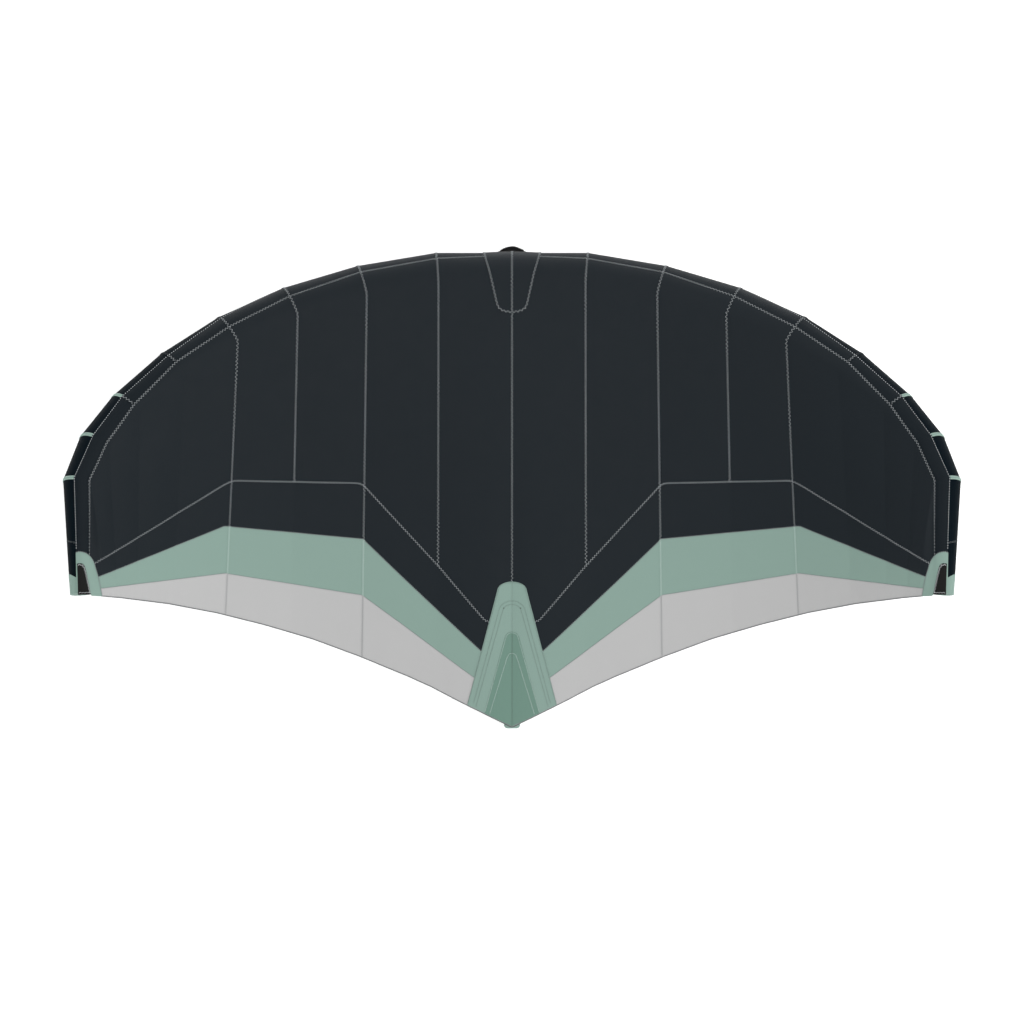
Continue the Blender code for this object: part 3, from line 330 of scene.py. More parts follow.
def skin_normal(u, q):
    u, q = np.broadcast_arrays(np.asarray(u, float), np.asarray(q, float))
    seam, leave = lerp(SEAM_DEG, u), lerp(LEAVE_DEG, u)
    deg = seam + (leave - seam) * np.clip(1 + q, 0, 1)
    return np.where(q[..., None] < 0, tube_normal(u, deg), cloth_normal(u, np.clip(q, 0, 1)))


def drape(x, y, off=0.0):
    """Points and normals over plan positions, on the cloth or on the part of it that wraps the tube."""
    x, y, off = np.broadcast_arrays(np.asarray(x, float), np.asarray(y, float), np.asarray(off, float))
    u, v = fan_of(x, y)
    vv = np.clip(v, 0, 1)
    p, n = cloth(u, vv, off), cloth_normal(u, vv)
    wrapped = v < -1e-4
    if wrapped.any():
        tu, td = over_tube(x[wrapped], y[wrapped])
        p[wrapped] = tube(tu, td, CANOPY_OFF + off[wrapped])
        n[wrapped] = tube_normal(tu, td)
    s = np.where(x < 0, -1.0, 1.0)
    p[..., 0] *= s
    n[..., 0] *= s
    return p, n


# ------------------------------------------------------------------ strut
CENTRE_Y = np.linspace(0.77, -0.912, 120)
_u0, _v0 = fan_of(np.zeros(120), CENTRE_Y)
CENTRE_Z = free_cloth(_u0, np.clip(_v0, 0, 1))[:, 2]


def under_canopy(y):
    return np.interp(-np.asarray(y, float), -CENTRE_Y, CENTRE_Z)


_pts = [(0.700, STRUT_FRONT_RADIUS)] + STRUT + [(TAIL_Y, 0.0310)]


def strut_radius(y):
    return np.interp(-np.asarray(y, float), [-p[0] for p in _pts], [p[1] for p in _pts])


_ys = [0.700] + [p[0] for p in STRUT] + [TAIL_Y]
_zs = [float(under_canopy(0.70)) - STRUT_DROP - STRUT_FRONT_RADIUS] + [float(under_canopy(p[0])) - STRUT_DROP - p[1] for p in STRUT] + [0.0310]
_zs[-2] = 0.0310


def strut_axis(y):
    return np.interp(-np.asarray(y, float), [-q for q in _ys], _zs)


def strut_point(y, deg, off=0.0):
    y, deg, off = np.broadcast_arrays(np.asarray(y, float), np.asarray(deg, float), np.asarray(off, float))
    t, r = np.radians(deg), strut_radius(y) + off
    return np.stack([r * np.cos(t), y, strut_axis(y) + r * np.sin(t)], -1)


# ------------------------------------------------------------------ materials
def lin(c):
    return c / 255 / 12.92 if c <= 10 else ((c / 255 + 0.055) / 1.055) ** 2.4


class Nodes:
    """Small helper that builds a material's node tree."""

    def __init__(self, name):
        self.m = bpy.data.materials.new(name)
        self.m.use_nodes = True
        self.t = self.m.node_tree
        self.t.nodes.clear()
        self.out = self.t.nodes.new("ShaderNodeOutputMaterial")
        self.b = self.t.nodes.new("ShaderNodeBsdfPrincipled")
        self.t.links.new(self.b.outputs[0], self.out.inputs[0])

    def put(self, socket, value):
        if isinstance(value, bpy.types.NodeSocket):
            self.t.links.new(value, socket)
        else:
            socket.default_value = value

    def math(self, op, *args, clamp=False):
        n = self.t.nodes.new("ShaderNodeMath")
        n.operation, n.use_clamp = op, clamp
        for i, a in enumerate(args):
            self.put(n.inputs[i], a)
        return n.outputs[0]

    def ramp(self, value, a, b, c=0.0, d=1.0):
        n = self.t.nodes.new("ShaderNodeMapRange")
        n.clamp = True
        for i, x in enumerate((value, a, b, c, d)):
            self.put(n.inputs[i], x)
        return n.outputs[0]

    def uv(self):
        n = self.t.nodes.new("ShaderNodeUVMap")
        n.uv_map = "cloth"
        s = self.t.nodes.new("ShaderNodeSeparateXYZ")
        self.t.links.new(n.outputs[0], s.inputs[0])
        return n.outputs[0], s.outputs[0], s.outputs[1]

    def place(self):
        return self.t.nodes.new("ShaderNodeTexCoord").outputs["Object"]

    def noise(self, vector, scale, detail=2.0, rough=0.5, dims="3D"):
        n = self.t.nodes.new("ShaderNodeTexNoise")
        n.noise_dimensions = dims
        self.put(n.inputs["Vector"], vector)
        n.inputs["Scale"].default_value = scale
        n.inputs["Detail"].default_value = detail
        n.inputs["Roughness"].default_value = rough
        return n.outputs["Fac"]

    def bump(self, height, distance, normal=None, strength=1.0):
        n = self.t.nodes.new("ShaderNodeBump")
        n.inputs["Strength"].default_value = strength
        n.inputs["Distance"].default_value = distance
        self.put(n.inputs["Height"], height)
        if normal is not None:
            self.put(n.inputs["Normal"], normal)
        return n.outputs[0]

    def tint(self, rgb, factor):
        n = self.t.nodes.new("ShaderNodeVectorMath")
        n.operation = "SCALE"
        n.inputs[0].default_value = rgb
        self.put(n.inputs["Scale"], factor)
        return n.outputs[0]

    def blend(self, factor, rgb_a, rgb_b):
        n = self.t.nodes.new("ShaderNodeMix")
        n.data_type = "RGBA"
        self.put(n.inputs[0], factor)
        for socket, c in ((n.inputs[6], rgb_a), (n.inputs[7], rgb_b)):
            if isinstance(c, bpy.types.NodeSocket):
                self.t.links.new(c, socket)
            else:
                socket.default_value = (*c, 1)
        return n.outputs[2]

    def total(self, *values):
        s = values[0]
        for v in values[1:]:
            s = self.math("ADD", s, v)
        return s


def woven(name, rgb, rough=0.6, spec=0.2, sheen=0.0, weave=0.0011, rip=0.0065, rip_tone=0.05, tone=0.05, weave_bump=0.00010, rip_bump=0.00012,
          crumple=0.0004, worn=0.0):
    """Coated cloth: a plain weave with ripstop yarns each way, faint mottling, fine fibre grain and soft handling creases."""
    k = Nodes(name)
    base = tuple(lin(c) if max(rgb) > 1.5 else c for c in rgb)
    _, x, y = k.uv()
    here = k.place()
    wx, wy = k.math("SINE", k.math("MULTIPLY", x, 2 * math.pi / weave)), k.math("SINE", k.math("MULTIPLY", y, 2 * math.pi / weave))
    w = k.math("MULTIPLY_ADD", k.math("MULTIPLY", wx, wy), 0.5, 0.5)
    lines = []
    for c in (x, y):
        p = k.math("DIVIDE", k.math("PINGPONG", c, rip / 2), rip / 2)
        lines.append(k.ramp(p, 0.0, 0.16, 1.0, 0.0))
    grid = k.math("MAXIMUM", *lines)
    wide, mid, fine = k.noise(here, 2.6, 3.0), k.noise(here, 14.0, 3.0, 0.6), k.noise(here, 1500.0, 2.0)
    factor = k.total(1.0, k.math("MULTIPLY_ADD", wide, 2 * tone, -tone), k.math("MULTIPLY_ADD", mid, tone, -tone / 2),
                     k.math("MULTIPLY_ADD", fine, 0.10, -0.05), k.math("MULTIPLY", grid, rip_tone), k.math("MULTIPLY_ADD", w, 0.05, -0.025))
    colour = k.tint(base, factor)
    if worn:
        scuff = k.ramp(k.noise(here, 60.0, 4.0, 0.7), 0.62, 0.78, 0.0, worn)
        colour = k.blend(scuff, colour, tuple(min(1.0, c * 1.6 + 0.02) for c in base))
    k.put(k.b.inputs["Base Color"], colour)
    k.put(k.b.inputs["Roughness"], k.math("MULTIPLY_ADD", mid, 0.14, rough - 0.07))
    k.b.inputs["Specular IOR Level"].default_value = spec
    k.b.inputs["Sheen Weight"].default_value = sheen
    k.b.inputs["Sheen Roughness"].default_value = 0.45
    n = k.bump(k.math("MULTIPLY_ADD", mid, 0.6, k.math("MULTIPLY", wide, 0.4)), crumple)
    n = k.bump(k.total(k.math("MULTIPLY", w, weave_bump / (weave_bump + rip_bump)), k.math("MULTIPLY", grid, rip_bump / (weave_bump + rip_bump))),
               weave_bump + rip_bump, n)
    k.put(k.b.inputs["Normal"], n)
    return k.m


def webbing(name, rgb, rough=0.75, rib=0.0017, spec=0.25):
    """Flat woven strap: a herringbone of thick yarns and a selvedge, with dusty high spots."""
    k = Nodes(name)
    base = tuple(lin(c) for c in rgb)
    _, x, y = k.uv()
    here = k.place()
    zig = k.math("MULTIPLY", k.math("PINGPONG", x, 0.0030), 1.0)
    rows = k.math("MULTIPLY_ADD", k.math("SINE", k.math("MULTIPLY", k.math("ADD", y, zig), 2 * math.pi / rib)), 0.5, 0.5)
    cross = k.math("MULTIPLY_ADD", k.math("SINE", k.math("MULTIPLY", x, 2 * math.pi / 0.0013)), 0.5, 0.5)
    h = k.math("MULTIPLY_ADD", rows, 0.7, k.math("MULTIPLY", cross, 0.3))
    fine = k.noise(here, 1800.0, 3.0)
    dust = k.noise(here, 38.0, 3.0)
    factor = k.total(0.72, k.math("MULTIPLY", h, 0.42), k.math("MULTIPLY_ADD", fine, 0.30, -0.15), k.math("MULTIPLY_ADD", dust, 0.16, -0.08))
    k.put(k.b.inputs["Base Color"], k.tint(base, factor))
    k.put(k.b.inputs["Roughness"], k.math("MULTIPLY_ADD", fine, 0.15, rough - 0.08))
    k.b.inputs["Specular IOR Level"].default_value = spec
    k.b.inputs["Sheen Weight"].default_value = 0.15
    k.put(k.b.inputs["Normal"], k.bump(h, 0.00030))
    return k.m


def grained(name, rgb, rough=0.8, scale=700.0, depth=0.00012, spec=0.25, tone=0.10, sheen=0.1):
    """Foam sleeve or rubber: fine pebbled grain with slightly polished high spots."""
    k = Nodes(name)
    base = tuple(lin(c) for c in rgb)
    here = k.place()
    v = k.t.nodes.new("ShaderNodeTexVoronoi")
    k.put(v.inputs["Vector"], here)
    v.inputs["Scale"].default_value = scale
    cells = v.outputs["Distance"]
    soft = k.noise(here, 22.0, 3.0)
    factor = k.total(1.0 - tone, k.math("MULTIPLY", cells, tone * 1.6), k.math("MULTIPLY_ADD", soft, tone, -tone / 2))
    k.put(k.b.inputs["Base Color"], k.tint(base, factor))
    k.put(k.b.inputs["Roughness"], k.math("MULTIPLY_ADD", soft, 0.16, rough - 0.08))
    k.b.inputs["Specular IOR Level"].default_value = spec
    k.b.inputs["Sheen Weight"].default_value = sheen
    k.put(k.b.inputs["Normal"], k.bump(cells, depth, k.bump(soft, 0.0004)))
    return k.m


def moulded(name, rgb, rough=0.42, spec=0.5):
    """Injection-moulded plastic: spark-eroded texture, faint flow marks and slightly rubbed gloss."""
    k = Nodes(name)
    base = tuple(lin(c) for c in rgb)
    here = k.place()
    fine, flow = k.noise(here, 2600.0, 2.0), k.noise(here, 90.0, 3.0)
    k.put(k.b.inputs["Base Color"], k.tint(base, k.total(0.95, k.math("MULTIPLY", flow, 0.10))))
    k.put(k.b.inputs["Roughness"], k.math("MULTIPLY_ADD", flow, 0.18, rough - 0.09))
    k.b.inputs["Specular IOR Level"].default_value = spec
    k.put(k.b.inputs["Normal"], k.bump(fine, 0.00004, k.bump(flow, 0.00005)))
    return k.m


def thread(name, rgb, rough=0.6):
    """Bonded sewing thread."""
    k = Nodes(name)
    base = tuple(lin(c) for c in rgb)
    here = k.place()
    fine, soft = k.noise(here, 2400.0, 2.0), k.noise(here, 9.0, 2.0)
    k.put(k.b.inputs["Base Color"], k.tint(base, k.total(0.86, k.math("MULTIPLY", fine, 0.14), k.math("MULTIPLY", soft, 0.14))))
    k.put(k.b.inputs["Roughness"], k.math("MULTIPLY_ADD", fine, 0.2, rough - 0.1))
    k.b.inputs["Specular IOR Level"].default_value = 0.3
    k.put(k.b.inputs["Normal"], k.bump(fine, 0.00008))
    return k.m


def film(name, rgb):
    k = Nodes(name)
    here = k.place()
    soft = k.noise(here, 25.0, 4.0)
    k.put(k.b.inputs["Base Color"], k.tint(tuple(lin(c) for c in rgb), k.total(0.92, k.math("MULTIPLY", soft, 0.16))))
    k.put(k.b.inputs["Roughness"], k.math("MULTIPLY_ADD", soft, 0.2, 0.25))
    k.put(k.b.inputs["Normal"], k.bump(soft, 0.0008))
    return k.m


EXPOSE = 1.22      # how bright a white card on the floor comes out, so that the floor is plain white


def shade(rgb, less=0.0):
    """Cloth colour that comes out as rgb under the studio light, after taking off the coating's own reflection."""
    return tuple(max(lin(c) - less, 0.0015) / EXPOSE for c in rgb)


NAVY = woven("navy_casing", shade((20, 27, 32), 0.0052), rough=0.60, spec=0.03, weave=0.0009, rip=0.0048, rip_tone=0.10, crumple=0.0005)
CHARCOAL = woven("charcoal_cloth", shade((39, 44, 48), 0.0130), rough=0.58, spec=0.16, rip_tone=0.10, tone=0.04, crumple=0.0004)
COVER = woven("charcoal_cover", shade((36, 41, 45), 0.0130), rough=0.58, spec=0.12, weave=0.0009, rip=0.0048, rip_tone=0.10, tone=0.04, crumple=0.0004)
SAGE = woven("sage_cloth", shade((142, 168, 158), 0.006), rough=0.62, spec=0.2, rip_tone=-0.05, tone=0.015)
DEEP_SAGE = woven("deep_sage_cloth", shade((115, 147, 134), 0.006), rough=0.62, spec=0.2, rip_tone=-0.05, tone=0.015)
GREY = woven("grey_cloth", shade((193, 193, 193), 0.006), rough=0.6, spec=0.2, rip_tone=-0.035, tone=0.02)
SCUFF = woven("scuff_cloth", shade((34, 34, 34), 0.0065), rough=0.8, spec=0.15, weave=0.0016, rip=0.0032, rip_tone=0.12, tone=0.10, weave_bump=0.00022, worn=0.3)
HEM = woven("hem_tape", shade((70, 74, 76), 0.004), rough=0.7, spec=0.2, weave=0.0008, rip=0.0030, rip_tone=0.1)
BLACK = webbing("black_webbing", (13, 13, 14))
PAD = woven("pad_cloth", (22, 23, 25), rough=0.72, spec=0.2, weave=0.0015, rip=0.0030, rip_tone=0.14, weave_bump=0.0002, tone=0.08)
FOAM = grained("black_foam", (21, 21, 22))
RUBBER = grained("hose_rubber", (27, 28, 30), rough=0.6, scale=1400, depth=0.00005, tone=0.05, sheen=0.0)
PLASTIC = moulded("valve_plastic", (28, 29, 31))
PLASTIC_GREY = moulded("valve_grey", (140, 143, 145), rough=0.45)
ZIP = moulded("zip_plastic", (22, 23, 25), rough=0.5)
FILM = film("bladder_film", (205, 208, 206))
THREAD_LIGHT = thread("thread_light", (158, 163, 165))
THREAD_PALE = thread("thread_pale", (206, 211, 213))
THREAD_FERN = thread("thread_fern", (92, 108, 100))
THREAD_SAGE = thread("thread_sage", (186, 204, 197))
THREAD_GREY = thread("thread_grey", (120, 124, 126))
THREAD_DARK = thread("thread_dark", (58, 62, 66))
THREAD_MOSS = thread("thread_moss", (122, 140, 133))


# ------------------------------------------------------------------ mesh helpers
def raw_mesh(name, verts, faces, mats, face_mat=None, loop_uv=None, sharp=40):
    """faces is a list of integer arrays, each (count, corners)."""
    mesh = bpy.data.meshes.new(name)
    verts = np.asarray(verts, np.float32).reshape(-1, 3)
    faces = [np.asarray(f, np.int32) for f in faces if len(f)]
    loops = np.concatenate([f.ravel() for f in faces])
    totals = np.concatenate([np.full(len(f), f.shape[1], np.int32) for f in faces])
    starts = np.concatenate([[0], np.cumsum(totals)[:-1]]).astype(np.int32)
    mesh.vertices.add(len(verts))
    mesh.vertices.foreach_set("co", verts.ravel())
    mesh.loops.add(len(loops))
    mesh.loops.foreach_set("vertex_index", loops)
    mesh.polygons.add(len(totals))
    mesh.polygons.foreach_set("loop_start", starts)
    mesh.polygons.foreach_set("loop_total", totals)
    for m in mats:
        mesh.materials.append(m)
    if face_mat is not None:
        mesh.polygons.foreach_set("material_index", np.asarray(face_mat, np.int32))
    if loop_uv is not None:
        layer = mesh.uv_layers.new(name="cloth")
        layer.data.foreach_set("uv", np.asarray(loop_uv, np.float32).ravel())
    mesh.update(calc_edges=True)
    mesh.shade_smooth()
    if sharp is not None:
        mesh.set_sharp_from_angle(angle=math.radians(sharp))
    return mesh


def place(mesh, body="wing", nodes=()):
    ob = bpy.data.objects.new(mesh.name, mesh)
    bpy.context.scene.collection.objects.link(ob)
    if isinstance(body, str):
        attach(ob, body)
    if nodes:
        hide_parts(*nodes)
    return ob


def grid_normals(P, wrap=False):
    if wrap:
        Q = np.concatenate([P[:, -1:], P, P[:, :1]], 1)
        dv = (Q[:, 2:] - Q[:, :-2])
    else:
        dv = np.gradient(P, axis=1)
    du = np.gradient(P, axis=0)
    return unit(np.cross(du, dv))


def arc_uv(P):
    """Flat-pattern coordinates of a grid in metres: arc lengths along both ways, the first centred."""
    a = np.concatenate([np.zeros((P.shape[0], 1)), np.cumsum(np.linalg.norm(np.diff(P, axis=1), axis=-1), 1)], 1)
    a = a - a[:, -1:] / 2
    b = np.concatenate([np.zeros((1, P.shape[1])), np.cumsum(np.linalg.norm(np.diff(P, axis=0), axis=-1), 0)], 0)
    return np.stack([a, b], -1)


CUTS = {}


def cut_of(P, wrap=False):
    Q = np.concatenate([P, P[:, :1]], 1) if wrap else P
    w = np.linalg.norm(np.diff(Q, axis=1), axis=-1).sum(1).max()
    h = np.linalg.norm(np.diff(Q, axis=0), axis=-1).sum(0).max()
    a, b, c, d = Q[:-1, :-1], Q[:-1, 1:], Q[1:, 1:], Q[1:, :-1]
    area = (np.linalg.norm(np.cross(b - a, c - a), axis=-1) + np.linalg.norm(np.cross(c - a, d - a), axis=-1)).sum() / 2
    return float(w), float(h), float(area)


def layer(name, P, mats, thick=CLOTH, toward=(0, 0, 1), inward=False, wrap=False, uv=None, cell_mat=None, mirror=False, body="wing", slot=None,
          nodes=(), held="stretched", rests=(), declare=True, sharp=40, normals=None):
    """A cloth layer over a grid of points, as one closed body with two faces and a rim. wrap joins the last column to the first."""
    P = np.asarray(P, float)
    if mirror:
        P = P * np.array([-1.0, 1, 1])
        toward = (-toward[0], toward[1], toward[2]) if not callable(toward) else toward
    R, C = P.shape[:2]
    N = grid_normals(P, wrap) if normals is None else (normals * np.array([-1.0, 1, 1]) if mirror else normals)
    way = toward(P) if callable(toward) else np.broadcast_to(np.asarray(toward, float), P.shape)
    flip = (N * way).sum() < 0
    if flip and normals is None:
        N = -N
    A, B = (P - N * thick, P) if inward else (P, P + N * thick)          # inner, outer
    verts = np.concatenate([A.reshape(-1, 3), B.reshape(-1, 3)])
    cc = C if wrap else C - 1
    i, j = np.meshgrid(np.arange(R - 1), np.arange(cc), indexing="ij")
    q = np.stack([i * C + j, (i + 1) * C + j, (i + 1) * C + (j + 1) % C, i * C + (j + 1) % C], -1).reshape(-1, 4)
    if uv is None:
        uv = arc_uv(np.concatenate([P, P[:, :1]], 1) if wrap else P)
    W = uv.shape[1]
    quv = np.stack([i * W + j, (i + 1) * W + j, (i + 1) * W + j + 1, i * W + j + 1], -1).reshape(-1, 4)
    U = uv.reshape(-1, 2)
    # is the natural winding of q facing the outer side?
    p0, p1, p3 = B.reshape(-1, 3)[q[:, 0]], B.reshape(-1, 3)[q[:, 1]], B.reshape(-1, 3)[q[:, 3]]
    face_n = np.cross(p1 - p0, p3 - p0)
    good = (face_n * (N.reshape(-1, 3)[q[:, 0]])).sum() > 0
    if not good:
        q, quv = q[:, ::-1], quv[:, ::-1]
    S = R * C
    faces = [q + S, q[:, ::-1]]
    uvs = [U[quv], U[quv[:, ::-1]]]
    cells = np.zeros(len(q), int) if cell_mat is None else np.asarray(cell_mat).reshape(-1)
    fm = [cells, cells]

    def rim(line, vline, mat):
        """line: indices of the border in order, so that the outward side follows from the top's winding."""
        a, b = line[:-1], line[1:]
        f = np.stack([a, b, b + S, a + S], -1)
        t = U[np.stack([vline[:-1], vline[1:], vline[1:], vline[:-1]], -1)]
        faces.append(f if good_rim else f[:, ::-1])
        uvs.append(t if good_rim else t[:, ::-1])
        fm.append(mat)
    jj, ii = np.arange(C), np.arange(R)
    cm = cells.reshape(R - 1, cc)
    good_rim = good          # the rim turns the same way as the faces that it joins
    if wrap:
        ring = np.concatenate([jj, [0]])
        vr = np.arange(C + 1)
        rim(ring[::-1], vr[::-1], cm[0][::-1])
        rim(ring + (R - 1) * C, vr + (R - 1) * W, cm[-1])
    else:
        rim(jj[::-1], jj[::-1], cm[0][::-1])
        rim(jj + (R - 1) * C, jj + (R - 1) * W, cm[-1])
        rim(ii * C, ii * W, cm[:, 0])
        rim((ii * C + C - 1)[::-1], (ii * W + C - 1)[::-1], cm[::-1, -1])
    mesh = raw_mesh(name, verts, [np.concatenate(faces)], mats, np.concatenate(fm), np.concatenate(uvs), sharp)
    ob = place(mesh, body, nodes)
    if declare:
        w, h, area = cut_of(P, wrap)
        CUTS[name] = (w, h, area)
    return ob


def both(name, make):
    make(name + "_R", False)
    make(name + "_L", True)


def follow(P, N):
    """Tangents and sideways directions along a path of points with normals."""
    T = unit(np.gradient(P, axis=0))
    return T, unit(np.cross(N, T))


def along_path(P, N, s):
    """Points, normals and sideways directions at the distances s along a path."""
    d = np.concatenate([[0], np.cumsum(np.linalg.norm(np.diff(P, axis=0), axis=1))])
    Q = np.stack([np.interp(s, d, P[:, k]) for k in range(3)], 1)
    M = unit(np.stack([np.interp(s, d, N[:, k]) for k in range(3)], 1))
    T, L = follow(P, N)
    L = unit(np.stack([np.interp(s, d, L[:, k]) for k in range(3)], 1))
    return Q, M, L, d[-1]


def path_length(P):
    return float(np.linalg.norm(np.diff(P, axis=0), axis=1).sum())


THREADS = {}
HIDING = []          # outlines in plan of the right half; while they are listed, stitches under them are left out


def inside(outline, x, y):
    found = np.zeros(np.shape(x), bool)
    for (xa, ya), (xb, yb) in zip(outline, outline[1:] + outline[:1]):
        if ya != yb:
            found ^= ((ya > y) != (yb > y)) & (x < (xb - xa) * (y - ya) / (yb - ya) + xa)
    return found


def sew(key, A, B, N, r=0.0007):
    """Adds stitches from A to B that lie on a surface with the normals N."""
    A, B, N = np.asarray(A), np.asarray(B), np.asarray(N)
    if HIDING and len(A):
        mid = (A + B) / 2
        keep = ~np.any([inside(o, np.abs(mid[:, 0]), mid[:, 1]) for o in HIDING], axis=0) | (N[:, 2] < 0.05)
        A, B, N = A[keep], B[keep], N[keep]
    if len(A):
        THREADS.setdefault(key, []).append((A, B, N, np.full(len(A), r)))


def mirror_of(*arrays):
    return [a * np.array([-1.0, 1, 1]) for a in arrays]


def zigzag(key, P, N, amp=0.0043, period=0.0126, r=0.00064, lift=0.0003, both_sides=True, trim=0.0):
    total = path_length(P)
    n = max(2, int((total - 2 * trim) / (period / 2)))
    s = trim + (total - 2 * trim) * np.arange(n + 1) / n
    Q, M, L, _ = along_path(P, N, s)
    sign = np.where(np.arange(n + 1) % 2 == 0, 1.0, -1.0)[:, None]
    Z = Q + L * sign * amp + M * lift
    A, B, M2 = Z[:-1], Z[1:], unit(M[:-1] + M[1:])
    if both_sides:
        sew(key + "_R", A, B, M2, r)
        sew(key + "_L", *mirror_of(A, B, M2), r)
    else:
        sew(key, A, B, M2, r)


def running(key, P, N, stitch=0.0044, pitch=0.0072, r=0.00070, lift=0.0003, shift=0.0, both_sides=True, trim=0.0):
    """Straight row of stitches, shift metres to the side of the path."""
    total = path_length(P)
    n = max(1, int((total - 2 * trim) / pitch))
    s0 = trim + (total - 2 * trim) * (np.arange(n) + 0.5) / n
    A, Ma, La, _ = along_path(P, N, s0 - stitch / 2)
    B, Mb, Lb, _ = along_path(P, N, s0 + stitch / 2)
    A, B, M = A + La * shift + Ma * lift, B + Lb * shift + Mb * lift, unit(Ma + Mb)
    if both_sides:
        sew(key + "_R", A, B, M, r)
        sew(key + "_L", *mirror_of(A, B, M), r)
    else:
        sew(key, A, B, M, r)


def thread_mesh(name, parts, mat, body="wing"):
    """All stitches of a colour as small rounded grains whose ends dive into the cloth."""
    A, B, N, r = (np.concatenate([p[k] for p in parts]) for k in range(4))
    T = unit(B - A)
    S = unit(np.cross(N, T))
    sides = 6
    q = np.arange(sides) * 2 * math.pi / sides
    rings = []
    for t, k, h in ((-0.04, 0.45, -0.7), (0.14, 0.95, 0.25), (0.86, 0.95, 0.25), (1.04, 0.45, -0.7)):
        c = A + (B - A) * t + N * (r * h)[:, None]
        rings.append(c[:, None, :] + (S[:, None, :] * np.cos(q)[None, :, None] + N[:, None, :] * np.sin(q)[None, :, None] * 0.8) * (r * k)[:, None, None])
    V = np.stack(rings, 1)                       # stitches, rings, sides
    m = len(A)
    base = (np.arange(m) * 4 * sides)[:, None, None]
    i, j = np.meshgrid(np.arange(3), np.arange(sides), indexing="ij")
    quad = np.stack([i * sides + j, i * sides + (j + 1) % sides, (i + 1) * sides + (j + 1) % sides, (i + 1) * sides + j], -1).reshape(1, -1, 4)
    quads = (quad + base).reshape(-1, 4)
    first = (np.arange(sides)[::-1][None, :] + base[:, :, 0]).reshape(-1, sides)
    last = (np.arange(sides)[None, :] + 3 * sides + base[:, :, 0]).reshape(-1, sides)
    # winding: sides go from S towards N, and the rings advance along T
    test = np.cross(V[0, 0, 1] - V[0, 0, 0], V[0, 1, 0] - V[0, 0, 0]) @ (V[0, 0, 0] - V[0, 0].mean(0))
    if test < 0:
        quads, first, last = quads[:, ::-1], first[:, ::-1], last[:, ::-1]
    mesh = raw_mesh(name, V.reshape(-1, 3), [quads, first, last], [mat], sharp=70)
    return place(mesh, body)


def plan_path(points, off, step=0.004, round_it=0.0):
    """A polyline in plan, laid on the cloth: points and normals."""
    p = np.array(points, float)
    if round_it:
        q = [p[0]]
        for a, b, c in zip(p[:-2], p[1:-1], p[2:]):
            r = min(round_it, np.linalg.norm(b - a) * 0.45, np.linalg.norm(c - b) * 0.45)
            s, e = b + unit(a - b) * r, b + unit(c - b) * r
            for t in np.linspace(0, 1, 7):
                q.append(s * (1 - t) ** 2 + b * 2 * t * (1 - t) + e * t * t)
        q.append(p[-1])
        p = np.array(q)
    d = np.concatenate([[0], np.cumsum(np.linalg.norm(np.diff(p, axis=0), axis=1))])
    n = max(2, int(d[-1] / step))
    s = np.linspace(0, d[-1], n + 1)
    return drape(np.interp(s, d, p[:, 0]), np.interp(s, d, p[:, 1]), off)


def px(x, y):
    """Plan position of a point of the square-on view."""
    return ((x - 512) * 0.0038, (487.4 - y) * 0.0038)


def right_of(points):
    """Points of the view's left half, moved to the right half."""
    return [(abs((x - 512) * 0.0038), (487.4 - y) * 0.0038) for x, y in points]


def strip(name, P, N, width, mat, thick=0.00035, slot=None, both_sides=True, nodes=(), lift=0.0, rows=5, crown=0.0, rests=(), declare=True):
    """Narrow tape along a path."""
    T, L = follow(P, N)
    c = np.linspace(-1, 1, rows)
    G = P[:, None, :] + L[:, None, :] * (c * width / 2)[None, :, None] + N[:, None, :] * (lift + crown * (1 - c ** 2))[None, :, None]
    n = np.repeat(N[:, None, :], rows, 1)
    way = n.sum((0, 1))

    def one(nm, m):
        w = way * np.array([-1.0, 1, 1]) if m else way
        return layer(nm, G, [mat], thick=thick, toward=lambda Q: (n * np.array([-1.0, 1, 1]) if m else n), mirror=m, slot=slot, nodes=nodes, rests=rests, declare=declare)
    if both_sides:
        one(name + "_R", False)
        one(name + "_L", True)
    else:
        one(name, False)


# ------------------------------------------------------------------ casing of the leading edge
def ring_columns(u):
    """Angles of the casing's columns at the stations u: denser steps keep to the cover's edges. Returns degrees and, per column cell, its colour."""
    low, high = lerp(COVER_DEG, np.minimum(np.abs(u), 9)), lerp(SEAM_DEG, np.minimum(np.abs(u), 9)) + 3.0
    n1, n2, n3 = 26, 24, 50
    cols, mats = [], []
    for k in range(n1):
        cols.append(-90 + (low + 90) * k / n1)
        mats.append(0)
    for k in range(n2):
        cols.append(low + (high - low) * k / n2)
        mats.append(1)
    for k in range(n3):
        cols.append(high + (270 - high) * k / n3)
        mats.append(0)
    return np.stack(cols, 1), np.array(mats)


def span_rows(a, b):
    """Stations between two sewn joints, dense near them."""
    length = SPAN[min(int(min(abs(a), abs(b))), 8)] * abs(b - a)
    near = np.array([0, 0.002, 0.004, 0.0065, 0.010, 0.015, 0.021, 0.028, 0.036, 0.046, 0.058])
    near = near[near < length * 0.42]
    mid = np.linspace(near[-1], length - near[-1], max(3, int((length - 2 * near[-1]) / 0.014)) + 1)[1:-1]
    s = np.concatenate([near, mid, (length - near)[::-1]]) / length
    return a + (b - a) * s


